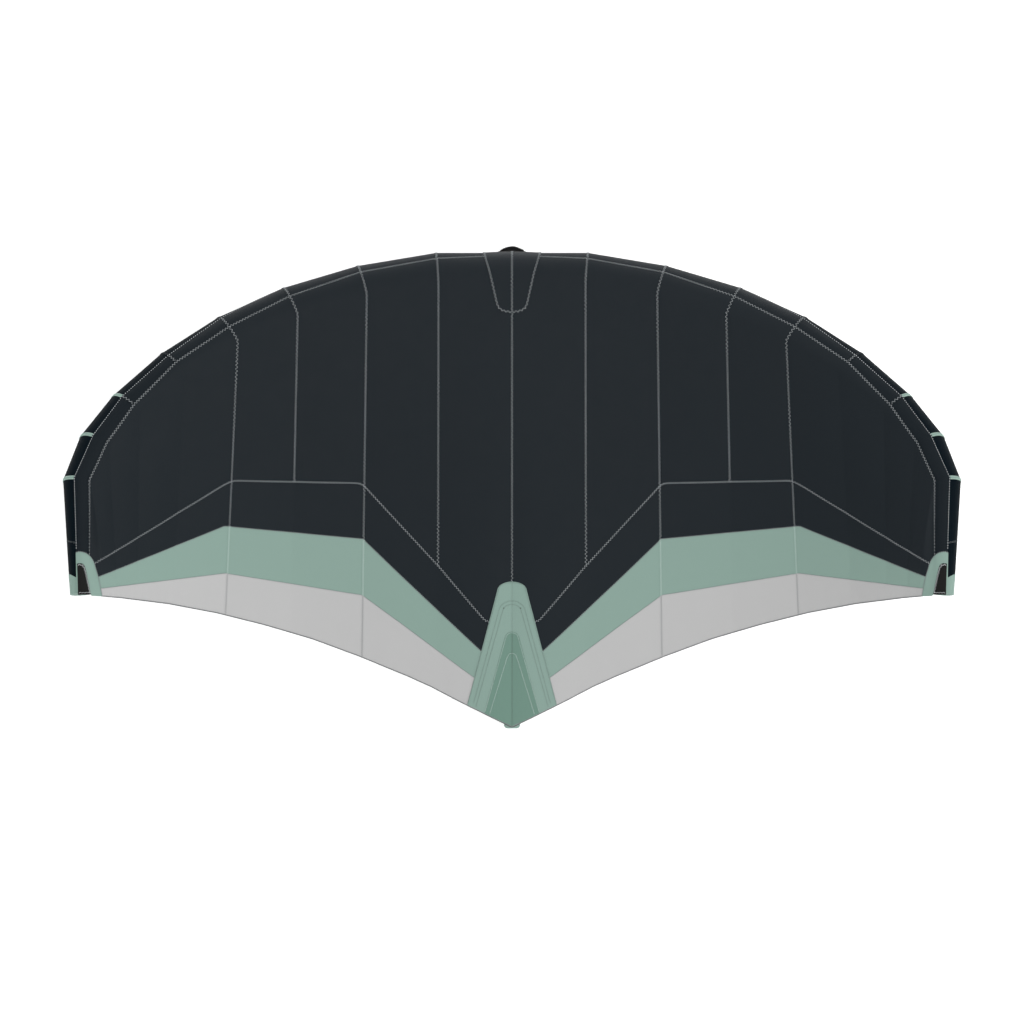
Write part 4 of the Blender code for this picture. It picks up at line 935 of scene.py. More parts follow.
def sleeve(name, stops, mirror=False, slot="navy_casing", nodes=()):
    us = []
    for a, b in zip(stops[:-1], stops[1:]):
        r = span_rows(a, b)
        us += list(r if not us else r[1:])
    us = np.array(us)
    deg, cm = ring_columns(us)
    P = casing(us[:, None] * np.ones_like(deg), deg)
    circ = np.radians(np.concatenate([deg, deg[:, :1] + 360], 1)) * lerp(LE_RADIUS, np.minimum(np.abs(us), 9))[:, None]
    run = np.interp(np.abs(us), np.arange(LEN), ALONG) * np.where(us < 0, -1, 1)
    uv = np.stack([np.broadcast_to(run[:, None], circ.shape), circ], -1)
    cells = np.broadcast_to(cm, (len(us) - 1, len(cm)))
    centre = tube(np.abs(us), 0.0) * 0 + lerp(AXIS, np.abs(us)) * np.where(us < 0, -1.0, 1.0)[:, None] ** np.array([1, 0, 0])
    sgn = np.array([-1.0, 1, 1]) if mirror else np.ones(3)
    return layer(name, P, [NAVY, COVER], inward=True, wrap=True, uv=uv, cell_mat=cells, toward=lambda Q: Q - (centre * sgn)[:, None, :], mirror=mirror,
                 slot=slot, nodes=nodes, rests=["le_bladder"])


centre_sleeve = sleeve("casing_center", [-1, 0, 1], nodes=("le_sleeve_center",))
for part, stops in (("inner", (1, 2, 3)), ("mid", (3, 4, 5)), ("outer", (5, 6, 7)), ("tip", (7, 8, 8.868))):
    for side in "RL":
        sleeve("casing_%s_%s" % (part, side), stops, mirror=side == "L", nodes=("le_sleeve_%s_%s" % (part, side),))


def ring_path(k, d0, d1, off=0.0002, step=2.0):
    deg = np.linspace(d0, d1, max(4, int(abs(d1 - d0) / step)) + 1)
    u = np.full(len(deg), float(k))
    p = tube(u, deg, off)
    p[:, 2] = np.maximum(p[:, 2], 0.0004)
    return p, tube_normal(u, deg)


def joint_tape(k, d0, d1, mat, name, width=0.018, off=0.0002, thick=0.00045, slot="navy_casing"):
    """Tape over a sewn joint of the casing; it follows the tube's bend across the joint."""
    deg = np.linspace(d0, d1, max(6, int(abs(d1 - d0) / 3)) + 1)
    side = np.array([-1.0, -0.55, 0.0, 0.55, 1.0]) * width / 2
    us = k + np.where(side < 0, side / SPAN[k - 1], side / SPAN[min(k, 8)])
    P = tube(us[None, :], deg[:, None], off + 0.0003 * (1 - (np.abs(side) / width * 2) ** 2)[None, :])
    P[..., 2] = np.maximum(P[..., 2], 0.0003)
    N = tube_normal(us[None, :], deg[:, None])
    for s in "RL":
        m = s == "L"
        layer(name + "_" + s, P, [mat], thick=thick, toward=lambda Q, m=m: N * (np.array([-1.0, 1, 1]) if m else 1.0), mirror=m, slot=slot, rests=["le_bladder"])


for k in range(1, 9):
    low, high = float(COVER_DEG[k]), float(SEAM_DEG[k])
    if k <= 5:
        joint_tape(k, high + 20 - 360 if k < 9 else -200, low, NAVY, "joint_tape_%d" % k)
        joint_tape(k, low, high - 0.5, COVER, "joint_tape_cover_%d" % k, width=0.013, slot="charcoal_cloth")
    else:
        joint_tape(k, high + 14 - 360, low, SAGE, "joint_tape_%d" % k, width=0.0142, slot="sage_cloth")
        if k == 6:
            joint_tape(k, low, high - 0.5, COVER, "joint_tape_cover_%d" % k, width=0.013, slot="charcoal_cloth")
    if k <= 6:
        P, N = ring_path(k, low, high - 1.0, off=0.0009)
        zigzag("light", P, N)
    if k <= 5:
        P, N = ring_path(k, high + 22 - 360, low, off=0.0009)
        zigzag("dark", P, N)
    else:
        P, N = ring_path(k, high + 16 - 360, low, off=0.0009)
        running("sage", P, N, shift=0.0052)
        running("sage", P, N, shift=-0.0052)

# seam that closes the casing from tip to tip, low on the inside of the bend, clear of the valve, the hose and the strut
us = np.concatenate([span_rows(a, b)[(0 if i == 0 else 1):] for i, (a, b) in enumerate(zip((0, 1, 2, 3, 4, 5, 6, 7, 8), (1, 2, 3, 4, 5, 6, 7, 8, TUBE_END)))])
degs = np.full(len(us), 250.0)
P, N = tube(us, degs, 0.0006), tube_normal(us, degs)
P[:, 2] = np.maximum(P[:, 2], 0.0004)
N[0] = unit(N[0] * np.array([0.0, 1, 1]))
P, N = (np.concatenate([(a * np.array([-1.0, 1, 1]))[:0:-1], a]) for a in (P, N))
strip("closing_seam", P, N, 0.020, NAVY, thick=0.0004, slot="navy_casing", lift=0.0001, rests=["le_bladder"], both_sides=False)
for shift in (0.0070, -0.0070):
    running("dark_C", P, N, shift=shift, lift=0.0006, pitch=0.0085, stitch=0.0058, both_sides=False)

# straight stitching along the lower edge of the charcoal cover
us = np.linspace(0, 8.62, 900)
P, N = tube(us, lerp(COVER_DEG, us) + 2.2, 0.0002), tube_normal(us, lerp(COVER_DEG, us) + 2.2)
running("pale", P, N, lift=0.0004, stitch=0.0042, pitch=0.0098, r=0.00110)

# ------------------------------------------------------------------ canopy panels
def columns(lo, hi, per):
    us = []
    for k in range(int(lo), int(hi)):
        us.append(np.linspace(k, k + 1, per[k] + 1)[:-1])
    us = np.concatenate(us + [[hi]])
    us[0] += 0.0004
    us[-1] -= 0.0004 if hi < 9 else 0.0
    return us


PER = [34, 34, 32, 30, 26, 24, 22, 24, 40]
for label, lo, hi in (("center", 0, 2), ("mid", 2, 4), ("tip", 4, 9)):
    us = columns(lo, hi, PER)
    v1 = crossing(us, BAND_FRONT)
    v2 = np.maximum(crossing(us, BAND_REAR), v1 + 0.02)
    c = chord(us)
    hem = BINDING / c
    gap = 0.0001 / c
    seam, leave = lerp(SEAM_DEG, us), lerp(LEAVE_DEG, us)
    wraps, frees = 16, int(max(c * v1) / 0.0095)
    wrapped = skin_at(us[None, :], (np.arange(wraps) / wraps - 1)[:, None])
    # spacing is finer near the tube, where the cloth pulls
    f = np.linspace(0, 1, frees + 1)
    f = f * 0.75 + 0.25 * f ** 2
    free = cloth(us[None, :], (v1 - gap)[None, :] * f[:, None])
    P = np.concatenate([wrapped, free], 0)
    s = np.concatenate([np.zeros((1, len(us))), np.cumsum(np.linalg.norm(np.diff(P, axis=0), axis=-1), 0)], 0)
    top = cloth(us, np.zeros_like(us))
    uv = np.stack([np.broadcast_to(P[wraps:wraps + 1, :, 0], s.shape) * 0.0 + P[..., 0], top[None, :, 1] + s[wraps][None, :] - s], -1)

    def three(nodes, P, mat, slot, name, uv=None):
        for side in "RL":
            layer("%s_%s" % (name, side), P, [mat], mirror=side == "L", uv=uv, slot=slot, nodes=("%s_%s" % (nodes, side),), rests=["le_bladder", "strut_sleeve"])
    three("canopy_" + label, P, CHARCOAL, "charcoal_cloth", "cloth_main_" + label, uv)
    n = int(max(c * (v2 - v1)) / 0.010)
    f = np.linspace(0, 1, n + 1)[:, None]
    three("band_" + label, cloth(us[None, :], (v1 + gap)[None, :] + (v2 - v1 - 2 * gap)[None, :] * f), SAGE, "sage_cloth", "cloth_band_" + label)
    n = int(max(c * (1 - hem - v2)) / 0.010)
    f = np.linspace(0, 1, n + 1)[:, None]
    three("rear_" + label, cloth(us[None, :], (v2 + gap)[None, :] + (1 - hem - v2 - gap)[None, :] * f), GREY, "grey_cloth", "cloth_rear_" + label)

# ------------------------------------------------------------------ outlines of the reinforcements, in plan
def rounded_top(half_top, side_y, top_y, n=14):
    """Right half of a patch's front end: an ellipse from the centre line to its side."""
    t = np.linspace(0, math.pi / 2, n)
    k = 0.82 if half_top > 0.04 else 1.0
    return [(half_top * abs(math.sin(a)) ** k, side_y + (top_y - side_y) * abs(math.cos(a)) ** k) for a in t]


NOSE_SIDE = [(0.0, 0.6625), (0.020, 0.6633), (0.037, 0.6665), (0.049, 0.6725), (0.0565, 0.6825), (0.0627, 0.7000), (0.0733, 0.7479), (0.0890, 0.8159),
             (0.1077, 0.8780), (0.1110, 0.8907)]
TAIL_TOP, INNER_TOP = (0.0530, -0.3849, -0.3572), (0.0254, -0.5680, -0.5485)
TAIL_FOOT, INNER_FOOT = (0.1702, -0.8185), (0.1045, -0.8493)
TIP_SIDE = [(1.6587, -0.2455), (1.6470, -0.2440), (1.6351, -0.2451), (1.6220, -0.2490), (1.6108, -0.2561), (1.6005, -0.2665), (1.5922, -0.2785),
            (1.5862, -0.2920), (1.5823, -0.3070), (1.5721, -0.3416), (1.5637, -0.3846), (1.5588, -0.4127)]
UNDER_NOSE = NOSE_SIDE + [(0.111, 1.0), (0.0, 1.0)]
UNDER_TAIL = rounded_top(*TAIL_TOP) + [TAIL_FOOT, (0.175, -0.95), (0.0, -0.95)]
UNDER_TIP = TIP_SIDE + [(1.555, -0.46), (1.70, -0.46), (1.70, -0.2455)]
LOAD_SEAM = right_of([(94.8, 563.4), (140, 536), (222, 485.6), (232.5, 480.5), (361.5, 483), (440, 567), (485.6, 620), (490.5, 621)])
HIDING[:] = [UNDER_NOSE, UNDER_TAIL, UNDER_TIP]

# ------------------------------------------------------------------ seams of the canopy
ON_TOP = CLOTH + 0.0001


def band_grid(k, q, half, off=ON_TOP, rows=5):
    """Grid of a narrow band along the radial seam u=k."""
    e = 0.004
    mid = skin_at(k, q)
    ahead = np.linalg.norm(skin_at(k + e, q) - mid, axis=-1) / e
    back = np.linalg.norm(skin_at(k - e, q) - mid, axis=-1) / e if k else ahead
    cols = []
    for c in np.linspace(-1, 1, rows):
        du = c * half / (ahead if c > 0 else back)
        edge = 0.00012 * (1 - c * c)
        if k == 0:
            p = skin_at(np.abs(du), q, off + edge)
            cols.append(p * np.array([-1.0 if c < 0 else 1.0, 1, 1]))
        else:
            cols.append(skin_at(k + du, q, off + edge))
    return np.stack(cols, 1)


def radial_seam(k, stops, colours, keys, half=0.0058, **stitch):
    """stops are positions along the seam; each stretch between them has its cloth and thread."""
    for i, (q0, q1) in enumerate(zip(stops[:-1], stops[1:])):
        length = (q1 - max(q0, 0)) * float(chord(np.array(float(k)))) + max(0.0, min(q1, 0) - q0) * 0.1
        q = np.linspace(q0, q1, max(6, int(length / 0.008)))
        if q0 < 0 < q1:
            q = np.unique(np.append(q, 0.0))
        mat, slot = colours[i]
        G = band_grid(k, q, half)
        name = "seam_band_%d_%s" % (k, "abc"[i])
        if k:
            both(name, lambda nm, m: layer(nm, G, [mat], thick=0.0004, mirror=m, slot=slot, rests=["le_bladder"]))
        else:
            layer(name, G, [mat], thick=0.0004, slot=slot, rests=["strut_sleeve"])
        if keys[i]:
            P, N = skin_at(k, q, ON_TOP + 0.0005), skin_normal(k, q)
            if k == 0:
                N[:, 0] = 0.0
                N = unit(N)
            opts = dict(both_sides=bool(k), period=0.0148, amp=0.0045)
            opts.update(stitch if keys[i] == "light" else dict(stitch, amp=0.0034, period=0.0085, r=0.00055))
            zigzag(keys[i] if k else keys[i] + "_C", P, N, **opts)
            if k:
                under = q > 0.03
                zigzag("grey", skin_at(k, q[under], -0.0002), -N[under], **opts)


DARK, GREEN, PALE = (CHARCOAL, "charcoal_cloth"), (SAGE, "sage_cloth"), (GREY, "grey_cloth")


def v_at(k, line):
    return float(crossing(np.array([float(k)]), line)[0])


def v_end(k):
    return 1 - BINDING / float(chord(np.array(float(k)))) - 0.0008


for k in (1, 3):
    radial_seam(k, (-0.985, v_at(k, LOAD_SEAM)), (DARK,), ("light",))
for k in (2, 4):
    v1, v2 = v_at(k, BAND_FRONT), v_at(k, BAND_REAR)
    radial_seam(k, (-0.985, v1 - 0.0006, v2 - 0.0004, v_end(k)), (DARK, GREEN, PALE), ("light", "sage", "grey"))
q_nose = float(fan_of(np.zeros(1), np.array([0.672]))[1][0])
q_tail = float(fan_of(np.zeros(1), np.array([-0.366]))[1][0])
radial_seam(0, (q_nose, q_tail), (DARK,), ("light",))

# seam where the canopy is sewn to the casing
us = np.concatenate([np.linspace(k, k + 1, 60)[:-1] for k in range(9)])
us = us[us < 8.70]
edge_deg = lerp(SEAM_DEG, us) + np.degrees(0.0052 / lerp(LE_RADIUS, us))
P, N = tube(us, edge_deg, wrap_lift(us, edge_deg) + CLOTH + 0.0002), tube_normal(us, edge_deg)
zigzag("light", P, N)

# long seam that carries the handle loads, under its own band
P, N = plan_path(LOAD_SEAM, ON_TOP + 0.0002, step=0.008, round_it=0.02)
strip("load_seam_band", P, N, 0.0116, CHARCOAL, thick=0.0004, slot="charcoal_cloth", crown=0.0001, rests=["strut_sleeve"])
P, N = plan_path(LOAD_SEAM, ON_TOP + 0.0008, step=0.004, round_it=0.02)
zigzag("light", P, N, amp=0.0038, period=0.0112)
P, N = plan_path(LOAD_SEAM, -0.0002, step=0.004, round_it=0.02)
zigzag("grey", P, -N)

# seams where one colour of cloth meets the next
for line, key in ((BAND_FRONT, "grey"), (BAND_REAR, "grey")):
    us = np.concatenate([np.linspace(k, k + 1, 80)[:-1] for k in range(9)])
    vs = crossing(us, line)
    P, N = cloth(us, vs, ON_TOP + 0.0001), cloth_normal(us, vs)
    zigzag(key, P, N, amp=0.0026 if line is BAND_FRONT else 0.0020, period=0.0076, r=0.00062 if line is BAND_FRONT else 0.00042)
    zigzag("grey", cloth(us, vs, -0.0002), -N, amp=0.0024, period=0.0086, r=0.00045)
HIDING.clear()


# ------------------------------------------------------------------ reinforcements
def coons(top, bottom, left, right, rows, cols):
    """Plan positions between four border lines."""
    def along(line, n):
        p = np.array(line, float)
        d = np.concatenate([[0], np.cumsum(np.linalg.norm(np.diff(p, axis=0), axis=1))])
        s = np.linspace(0, d[-1], n)
        return np.stack([np.interp(s, d, p[:, 0]), np.interp(s, d, p[:, 1])], 1)
    t, b, l, r = along(top, cols), along(bottom, cols), along(left, rows), along(right, rows)
    s, v = np.linspace(0, 1, cols)[None, :, None], np.linspace(0, 1, rows)[:, None, None]
    return ((1 - v) * t[None] + v * b[None] + (1 - s) * l[:, None] + s * r[:, None]
            - ((1 - s) * (1 - v) * t[0] + s * (1 - v) * t[-1] + (1 - s) * v * b[0] + s * v * b[-1]))


def edge_press(rows, cols, width=2.5):
    """1 inside a patch and 0 along its border, over the given number of cells."""
    i = np.minimum(np.arange(rows), np.arange(rows)[::-1])[:, None]
    j = np.minimum(np.arange(cols), np.arange(cols)[::-1])[None, :]
    k = np.clip(np.minimum(i, j) / width, 0, 1)
    return k * k * (3 - 2 * k)


def te_y(x):
    return np.interp(np.abs(x), TEC_X, TEC_Y)


def wedge(name, mat, slot, top, foot, lift, nodes, cols=49, rows=78):
    """Wedge on the centre line that widens to the trailing edge, with a rounded front end."""
    half_top, side_y, top_y = top
    a = np.sin(np.linspace(-1, 1, cols) * math.pi / 2)
    xt, yt = a * half_top, side_y + (top_y - side_y) * np.sqrt(np.maximum(1 - a * a, 0))
    xb = a * (foot[0] - 0.002)
    yb = te_y(xb) + 0.0052
    f = (np.linspace(0, 1, rows) ** 1.12)[:, None]
    X, Y = xt + (xb - xt) * f, yt + (yb - yt) * f
    press = edge_press(rows, cols)
    P, _ = drape(X, Y, ON_TOP + lift - 0.0004 * (1 - press))
    return layer(name, P, [mat], thick=CLOTH, slot=slot, nodes=nodes, rests=["strut_sleeve"])


wedge("patch_tail", SAGE, "sage_cloth", TAIL_TOP, TAIL_FOOT, 0.0012, ("tail_patch",))
wedge("patch_tail_inner", DEEP_SAGE, "deep_sage_cloth", INNER_TOP, INNER_FOOT, 0.0024, ("tail_patch_inner",))


def wedge_line(half_top, side_y, top_y, foot, inset=0.0, n=16, end=0.006):
    """Half outline of a wedge, drawn in by inset, from the centre line to the trailing edge."""
    pts = rounded_top(max(half_top - inset, 0.003), side_y, top_y - inset, n)
    run = np.array(foot) - np.array([half_top, side_y])
    k = np.linspace(0, 1, 24)[1:]
    for f in k:
        x, y = half_top - inset + run[0] * f, side_y + run[1] * f
        pts.append((x, y))
    pts = [p for p in pts if p[1] > te_y(p[0]) + end]
    return pts


P, N = plan_path(wedge_line(*TAIL_TOP, TAIL_FOOT, 0.0032), ON_TOP + 0.0024, step=0.003)
zigzag("moss", P, N, amp=0.0019, period=0.0070, r=0.00055)
# double rows of the inner reinforcement, laid out from the view
for line, r in (([(512, 600.7), (508.4, 601.0), (505, 602.2), (502, 604.2), (499.7, 607.6), (474.0, 702)], 0.0006),
                ([(512, 604.3), (509.4, 604.5), (507.2, 605.2), (505.2, 606.4), (503.4, 608.6), (475.6, 708)], 0.0006)):
    P, N = plan_path([p for p in right_of(line)], ON_TOP + 0.0022, step=0.003)
    keep = P[:, 1] > te_y(P[:, 0]) + 0.006
    zigzag("moss", P[keep], N[keep], amp=0.0013, period=0.0052, r=0.00050)
for x, y in ((503.9, 607.6), (520.2, 607.6)):
    bx, by = px(x, y)
    P, N = drape(np.array([bx - 0.0026, bx + 0.0026]), np.array([by, by]), ON_TOP + 0.0024)
    for k in range(4):
        o = np.array([0, (k - 1.5) * 0.0011, 0])
        sew("fern_C", P[:1] + o, P[1:] + o, N[:1], 0.0006)
P, N = plan_path(wedge_line(*INNER_TOP, INNER_FOOT, 0.0030), ON_TOP + 0.0036, step=0.003)
zigzag("sage", P, N, amp=0.0014, period=0.0062, r=0.00045)
P, N = plan_path(right_of([(512, 652.9), (510.2, 653.2), (508.6, 654.4), (507.2, 657.2), (488.4, 718.2)]), ON_TOP + 0.0036, step=0.003)
keep = P[:, 1] > te_y(P[:, 0]) + 0.006
zigzag("sage", P[keep], N[keep], amp=0.0014, period=0.0056, r=0.00050)
for y0, y1, lift, key in ((-0.360, -0.5545, 0.0022, "moss_C"), (-0.5560, -0.9065, 0.0036, "fern_C")):
    P, N = plan_path([(0.0, y0), (0.0, y1)], ON_TOP + lift, step=0.003)
    N = unit(N * np.array([0.0, 1, 1]))
    running(key, P, N, stitch=0.0036, pitch=0.0060, r=0.0011, both_sides=False)


def nose_step(u, deg):
    """Rise of the patch where it goes up on the canopy's sewn edge."""
    return CLOTH * np.clip((deg - lerp(SEAM_DEG, u) + 4.0) / 3.0, 0, 1)


def nose_half(deg):
    return 0.1110 - 0.0035 * np.maximum(0.0, (deg + 8) / 32) ** 2 - 0.012 * np.maximum(0.0, (-38 - deg) / 8) ** 2


def nose_patch():
    """Apron from under the nose over the tube and back to a rounded end on the canopy."""
    cols = 45
    side = np.array(NOSE_SIDE)[::-1]                         # from the front edge back to the centre line
    grid = []
    x1 = lambda deg: tube(1.0, deg)[0]
    for deg in np.arange(-46.0, 24.1, 2.5):
        w = nose_half(deg)
        c = np.sin(np.linspace(-1, 1, cols) * math.pi / 2 * 0.93) / math.sin(math.pi / 2 * 0.93)
        x = c * w
        p = tube(np.abs(x) / x1(deg), deg, 0.0011 + nose_step(np.abs(x) / x1(deg), deg))
        p[:, 0] = x
        grid.append(p)
    y_start = grid[-1][cols // 2, 1]
    keep = side[side[:, 1] < y_start - 0.003]
    d = np.concatenate([[0], np.cumsum(np.linalg.norm(np.diff(keep, axis=0), axis=1))])
    s = np.linspace(0, d[-1], 60)[:-1]
    s = s[s < d[-1] - 0.004]
    xs, ys = np.interp(s, d, keep[:, 0]), np.interp(s, d, keep[:, 1])
    c = np.sin(np.linspace(-1, 1, cols) * math.pi / 2 * 0.93) / math.sin(math.pi / 2 * 0.93)
    for w, y in zip(xs, ys):
        p, _ = drape(c * w, np.full(cols, y), ON_TOP + 0.0009)
        grid.append(p)
    P = np.array(grid)
    # from the casing in front of the seam up on to the canopy's cloth, without a step
    for _ in range(3):
        P[24:36] = (P[23:35] + 2 * P[24:36] + P[25:37]) / 4
    return layer("patch_nose", P, [CHARCOAL], thick=CLOTH, slot="charcoal_cloth", nodes=("nose_patch",), rests=["le_bladder"], toward=lambda Q: Q - np.array([0, AXIS[0][1] - 0.08, -0.1]))


nose_patch()
line = [(x - 0.0045 * (1 if x > 0.02 else x / 0.02), y + (0.0045 if x < 0.052 else 0.002)) for x, y in NOSE_SIDE if y < 0.86] + [(0.1032, 0.8780), (0.1063, 0.8880)]
P, N = plan_path(line, ON_TOP + 0.0019, step=0.003, round_it=0.006)
zigzag("light", P, N, period=0.0148)
degs = np.arange(18.0, -43.1, -1.0)
x1 = np.array([tube(1.0, d)[0] for d in degs])
row = (nose_half(degs) - 0.0047) / x1
P, N = tube(row, degs, 0.0022 + nose_step(row, degs)), tube_normal(row, degs)
zigzag("light", P, N, period=0.0148)
P, N = tube(np.linspace(0, 1, 40) * row[-1], -43.0, 0.0022), tube_normal(np.linspace(0, 1, 40) * row[-1], -43.0)
zigzag("light", P, N)
degs = np.arange(-42.0, 22.1, 1.0)
Pa, Na = tube(0.0, degs, 0.0024 + nose_step(0.0, degs)), tube_normal(0.0, degs)
Pb, Nb = plan_path([(0.0, 0.904), (0.0, 0.672)], ON_TOP + 0.0022, step=0.003)
keep = Pb[:, 1] < Pa[-1, 1] - 0.002
P, N = np.concatenate([Pa, Pb[keep]]), np.concatenate([Na, Nb[keep]])
N = unit(N * np.array([0.0, 1, 1]))
zigzag("light_C", P, N, both_sides=False, period=0.0148, amp=0.0045)

# tip: reinforcement round the corner, scuff patch on it
END_LOW = lambda x: -0.4146 + (np.asarray(x) - 1.5588) * (0.0068 / 0.11)
left = tube(np.linspace(8.625, 8.992, 30), 69.0, CANOPY_OFF)[:, :2]
left = left[left[:, 1] < -0.2458]
top = [tuple(left[0])] + [p for p in TIP_SIDE[1:5] if p[0] < left[0][0] - 0.003]
foot = [tuple(left[-1]), (1.5588, -0.4127)]
G = coons(top, foot, [tuple(p) for p in left], TIP_SIDE[4:], 56, 40)
P, _ = drape(G[..., 0], G[..., 1], ON_TOP + 0.0009 - 0.0003 * (1 - edge_press(56, 40)))
# its hem runs on past the canopy's corner, level with the trailing edge, up to the scuff patch
past = np.clip(P[-1, :, 1] - END_LOW(P[-1, :, 0]), 0, 0.0085) * np.interp(P[-1, :, 0], [1.558, 1.566, 1.598, 1.604, 1.610], [0, 1, 1, 0.35, 0])
P[-7:] += (np.linspace(0, 1, 8)[1:] ** 1.5)[:, None, None] * past[None, :, None] * np.array([0.0, -1.0, 0.12])
for m, side in ((False, "R"), (True, "L")):
    layer("patch_tip_" + side, P, [SAGE], thick=CLOTH, mirror=m, slot="sage_cloth", nodes=("tip_patch_" + side,), rests=["le_bladder"])
edge = top + TIP_SIDE[5:]
P, N = plan_path(edge, ON_TOP + 0.0018, step=0.003, round_it=0.004)
zigzag("grey", P, N, amp=0.0024, period=0.0076, r=0.00062)
SCUFF_TOP = [(1.6519, -0.2905), (1.6480, -0.2893), (1.6400, -0.2885), (1.6320, -0.2905), (1.6270, -0.2960), (1.6235, -0.3045)]
SCUFF_SIDE = [(1.6235, -0.3045), (1.6188, -0.3230), (1.6108, -0.3640), (1.6028, -0.4085)]
scuff_left = [(1.6519, -0.2905), (1.6500, -0.3400), (1.6484, -0.4060)]
G = coons(SCUFF_TOP, [(1.6484, -0.4060), (1.6028, -0.4085)], scuff_left, SCUFF_SIDE, 40, 20)
P, _ = drape(G[..., 0], G[..., 1], ON_TOP + 0.0021 - 0.0003 * (1 - edge_press(40, 20, 1.5)))


def over_end(P, off):
    """Further rows of a patch round the tube's end and down its closing face."""
    uu, dd = over_tube(P[-1, :, 0], P[-1, :, 1])
    rim = tube(np.full(len(dd), 9.0), dd, CANOPY_OFF + off)
    rows = [rim + END_RUN * 0.0006]
    for k in (0.985, 0.96, 0.92, 0.86, 0.79, 0.72):
        rows.append(AXIS[9] + (rim - AXIS[9]) * k + END_RUN * (0.0012 + 0.0014 + 0.0022 * min(1, (1 - k) / 0.04)))
    return np.concatenate([P, np.array(rows)])


END_RUN = unit(AXIS[9] - AXIS[8])
P = over_end(P, ON_TOP + 0.0021)
for m, side in ((False, "R"), (True, "L")):
    layer("patch_scuff_" + side, P, [SCUFF], thick=0.0010, mirror=m, slot="black_webbing", nodes=("tip_scuff_patch_" + side,), rests=["le_bladder"])
inner = [(1.6490, -0.2955), (1.6400, -0.2938), (1.6330, -0.2958), (1.6282, -0.3030), (1.6233, -0.3180), (1.6148, -0.3610), (1.6062, -0.4070)]
P, N = plan_path(inner, ON_TOP + 0.0033, step=0.003, round_it=0.004)
zigzag("pale", P, N, amp=0.0030, period=0.0122, r=0.00074)
P, N = drape(np.linspace(1.6455, 1.6085, 20), np.linspace(-0.4078, -0.4098, 20), ON_TOP + 0.0033)
zigzag("pale", P, N, amp=0.0015, period=0.0110, r=0.00050)

# gathered cloth that closes the tube at the tip, over the end of the casing
run = unit(AXIS[9] - AXIS[8])


def tip_end():
    deg = np.linspace(-90, 270, 145)[:-1]
    t = np.radians(deg)
    start = 8.874 - 0.058 * np.clip(np.cos(t) * 1.15 - 0.2, 0, 1) ** 1.2
    free = 1 - 0.85 * np.clip((deg - 58) / 10, 0, 1) * np.clip((170 - deg) / 14, 0, 1)         # little room for folds under the patch
    fold = np.cos(13 * t + 0.4 + 0.5 * np.sin(2 * t)) * 0.55 + np.cos(23 * t + 1.3) * 0.3 + np.cos(37 * t) * 0.15
    rows = []
    for s in np.concatenate([[0.0, 0.03, 0.07], np.linspace(0.12, 1.0, 18)]):
        u = start + (9.0 - start) * s
        lap = np.clip((8.885 - u) / 0.012, 0, 1)
        off = 0.0007 * lap - 0.0002 * (1 - lap) + (-0.0016 + 0.0018 * fold) * free * s ** 1.6
        rows.append(tube(u, deg, off))
    rim = rows[-1]
    for k in (0.985, 0.95, 0.88, 0.77, 0.63, 0.48, 0.33, 0.20, 0.10, 0.035):
        deep = (1 - k) ** 0.5
        wave = 0.0016 * fold * free * (1 - abs(2 * k - 1)) + 0.0014 * fold * k
        p = AXIS[9] * (1 - k) + rim * k + run * (0.0012 * (1 - k * k) + wave * deep)[:, None]
        rows.append(p)
    return np.array(rows), deg


P, deg = tip_end()
us_c = np.concatenate([AXIS[8] * 0.14 + AXIS[9] * 0.86 + np.zeros((P.shape[0] - 10, 3)), AXIS[8] * 0.10 + AXIS[9] * 0.90 + np.zeros((10, 3))])
for m, side in ((False, "R"), (True, "L")):
    sg = np.array([-1.0, 1, 1]) if m else np.ones(3)
    layer("tip_end_" + side, P, [SAGE], inward=True, wrap=True, toward=lambda Q, sg=sg: Q - (us_c * sg)[:, None, :], mirror=m, slot="sage_cloth", held="gathered",
          nodes=("le_tip_end_" + side,), rests=["le_bladder"], sharp=60)
# two fine rows of stitching round the tube ahead of its end
degs = np.arange(-212.0, 68.1, 3.0)
for du in (-0.0042, 0.0042):
    us = 8.53 + du + 0.035 * np.clip((degs + 0) / 70, 0, 1)
    P, N = tube(us, degs, 0.0002), tube_normal(us, degs)
    running("grey", P, N, stitch=0.0036, pitch=0.0060, r=0.0005)


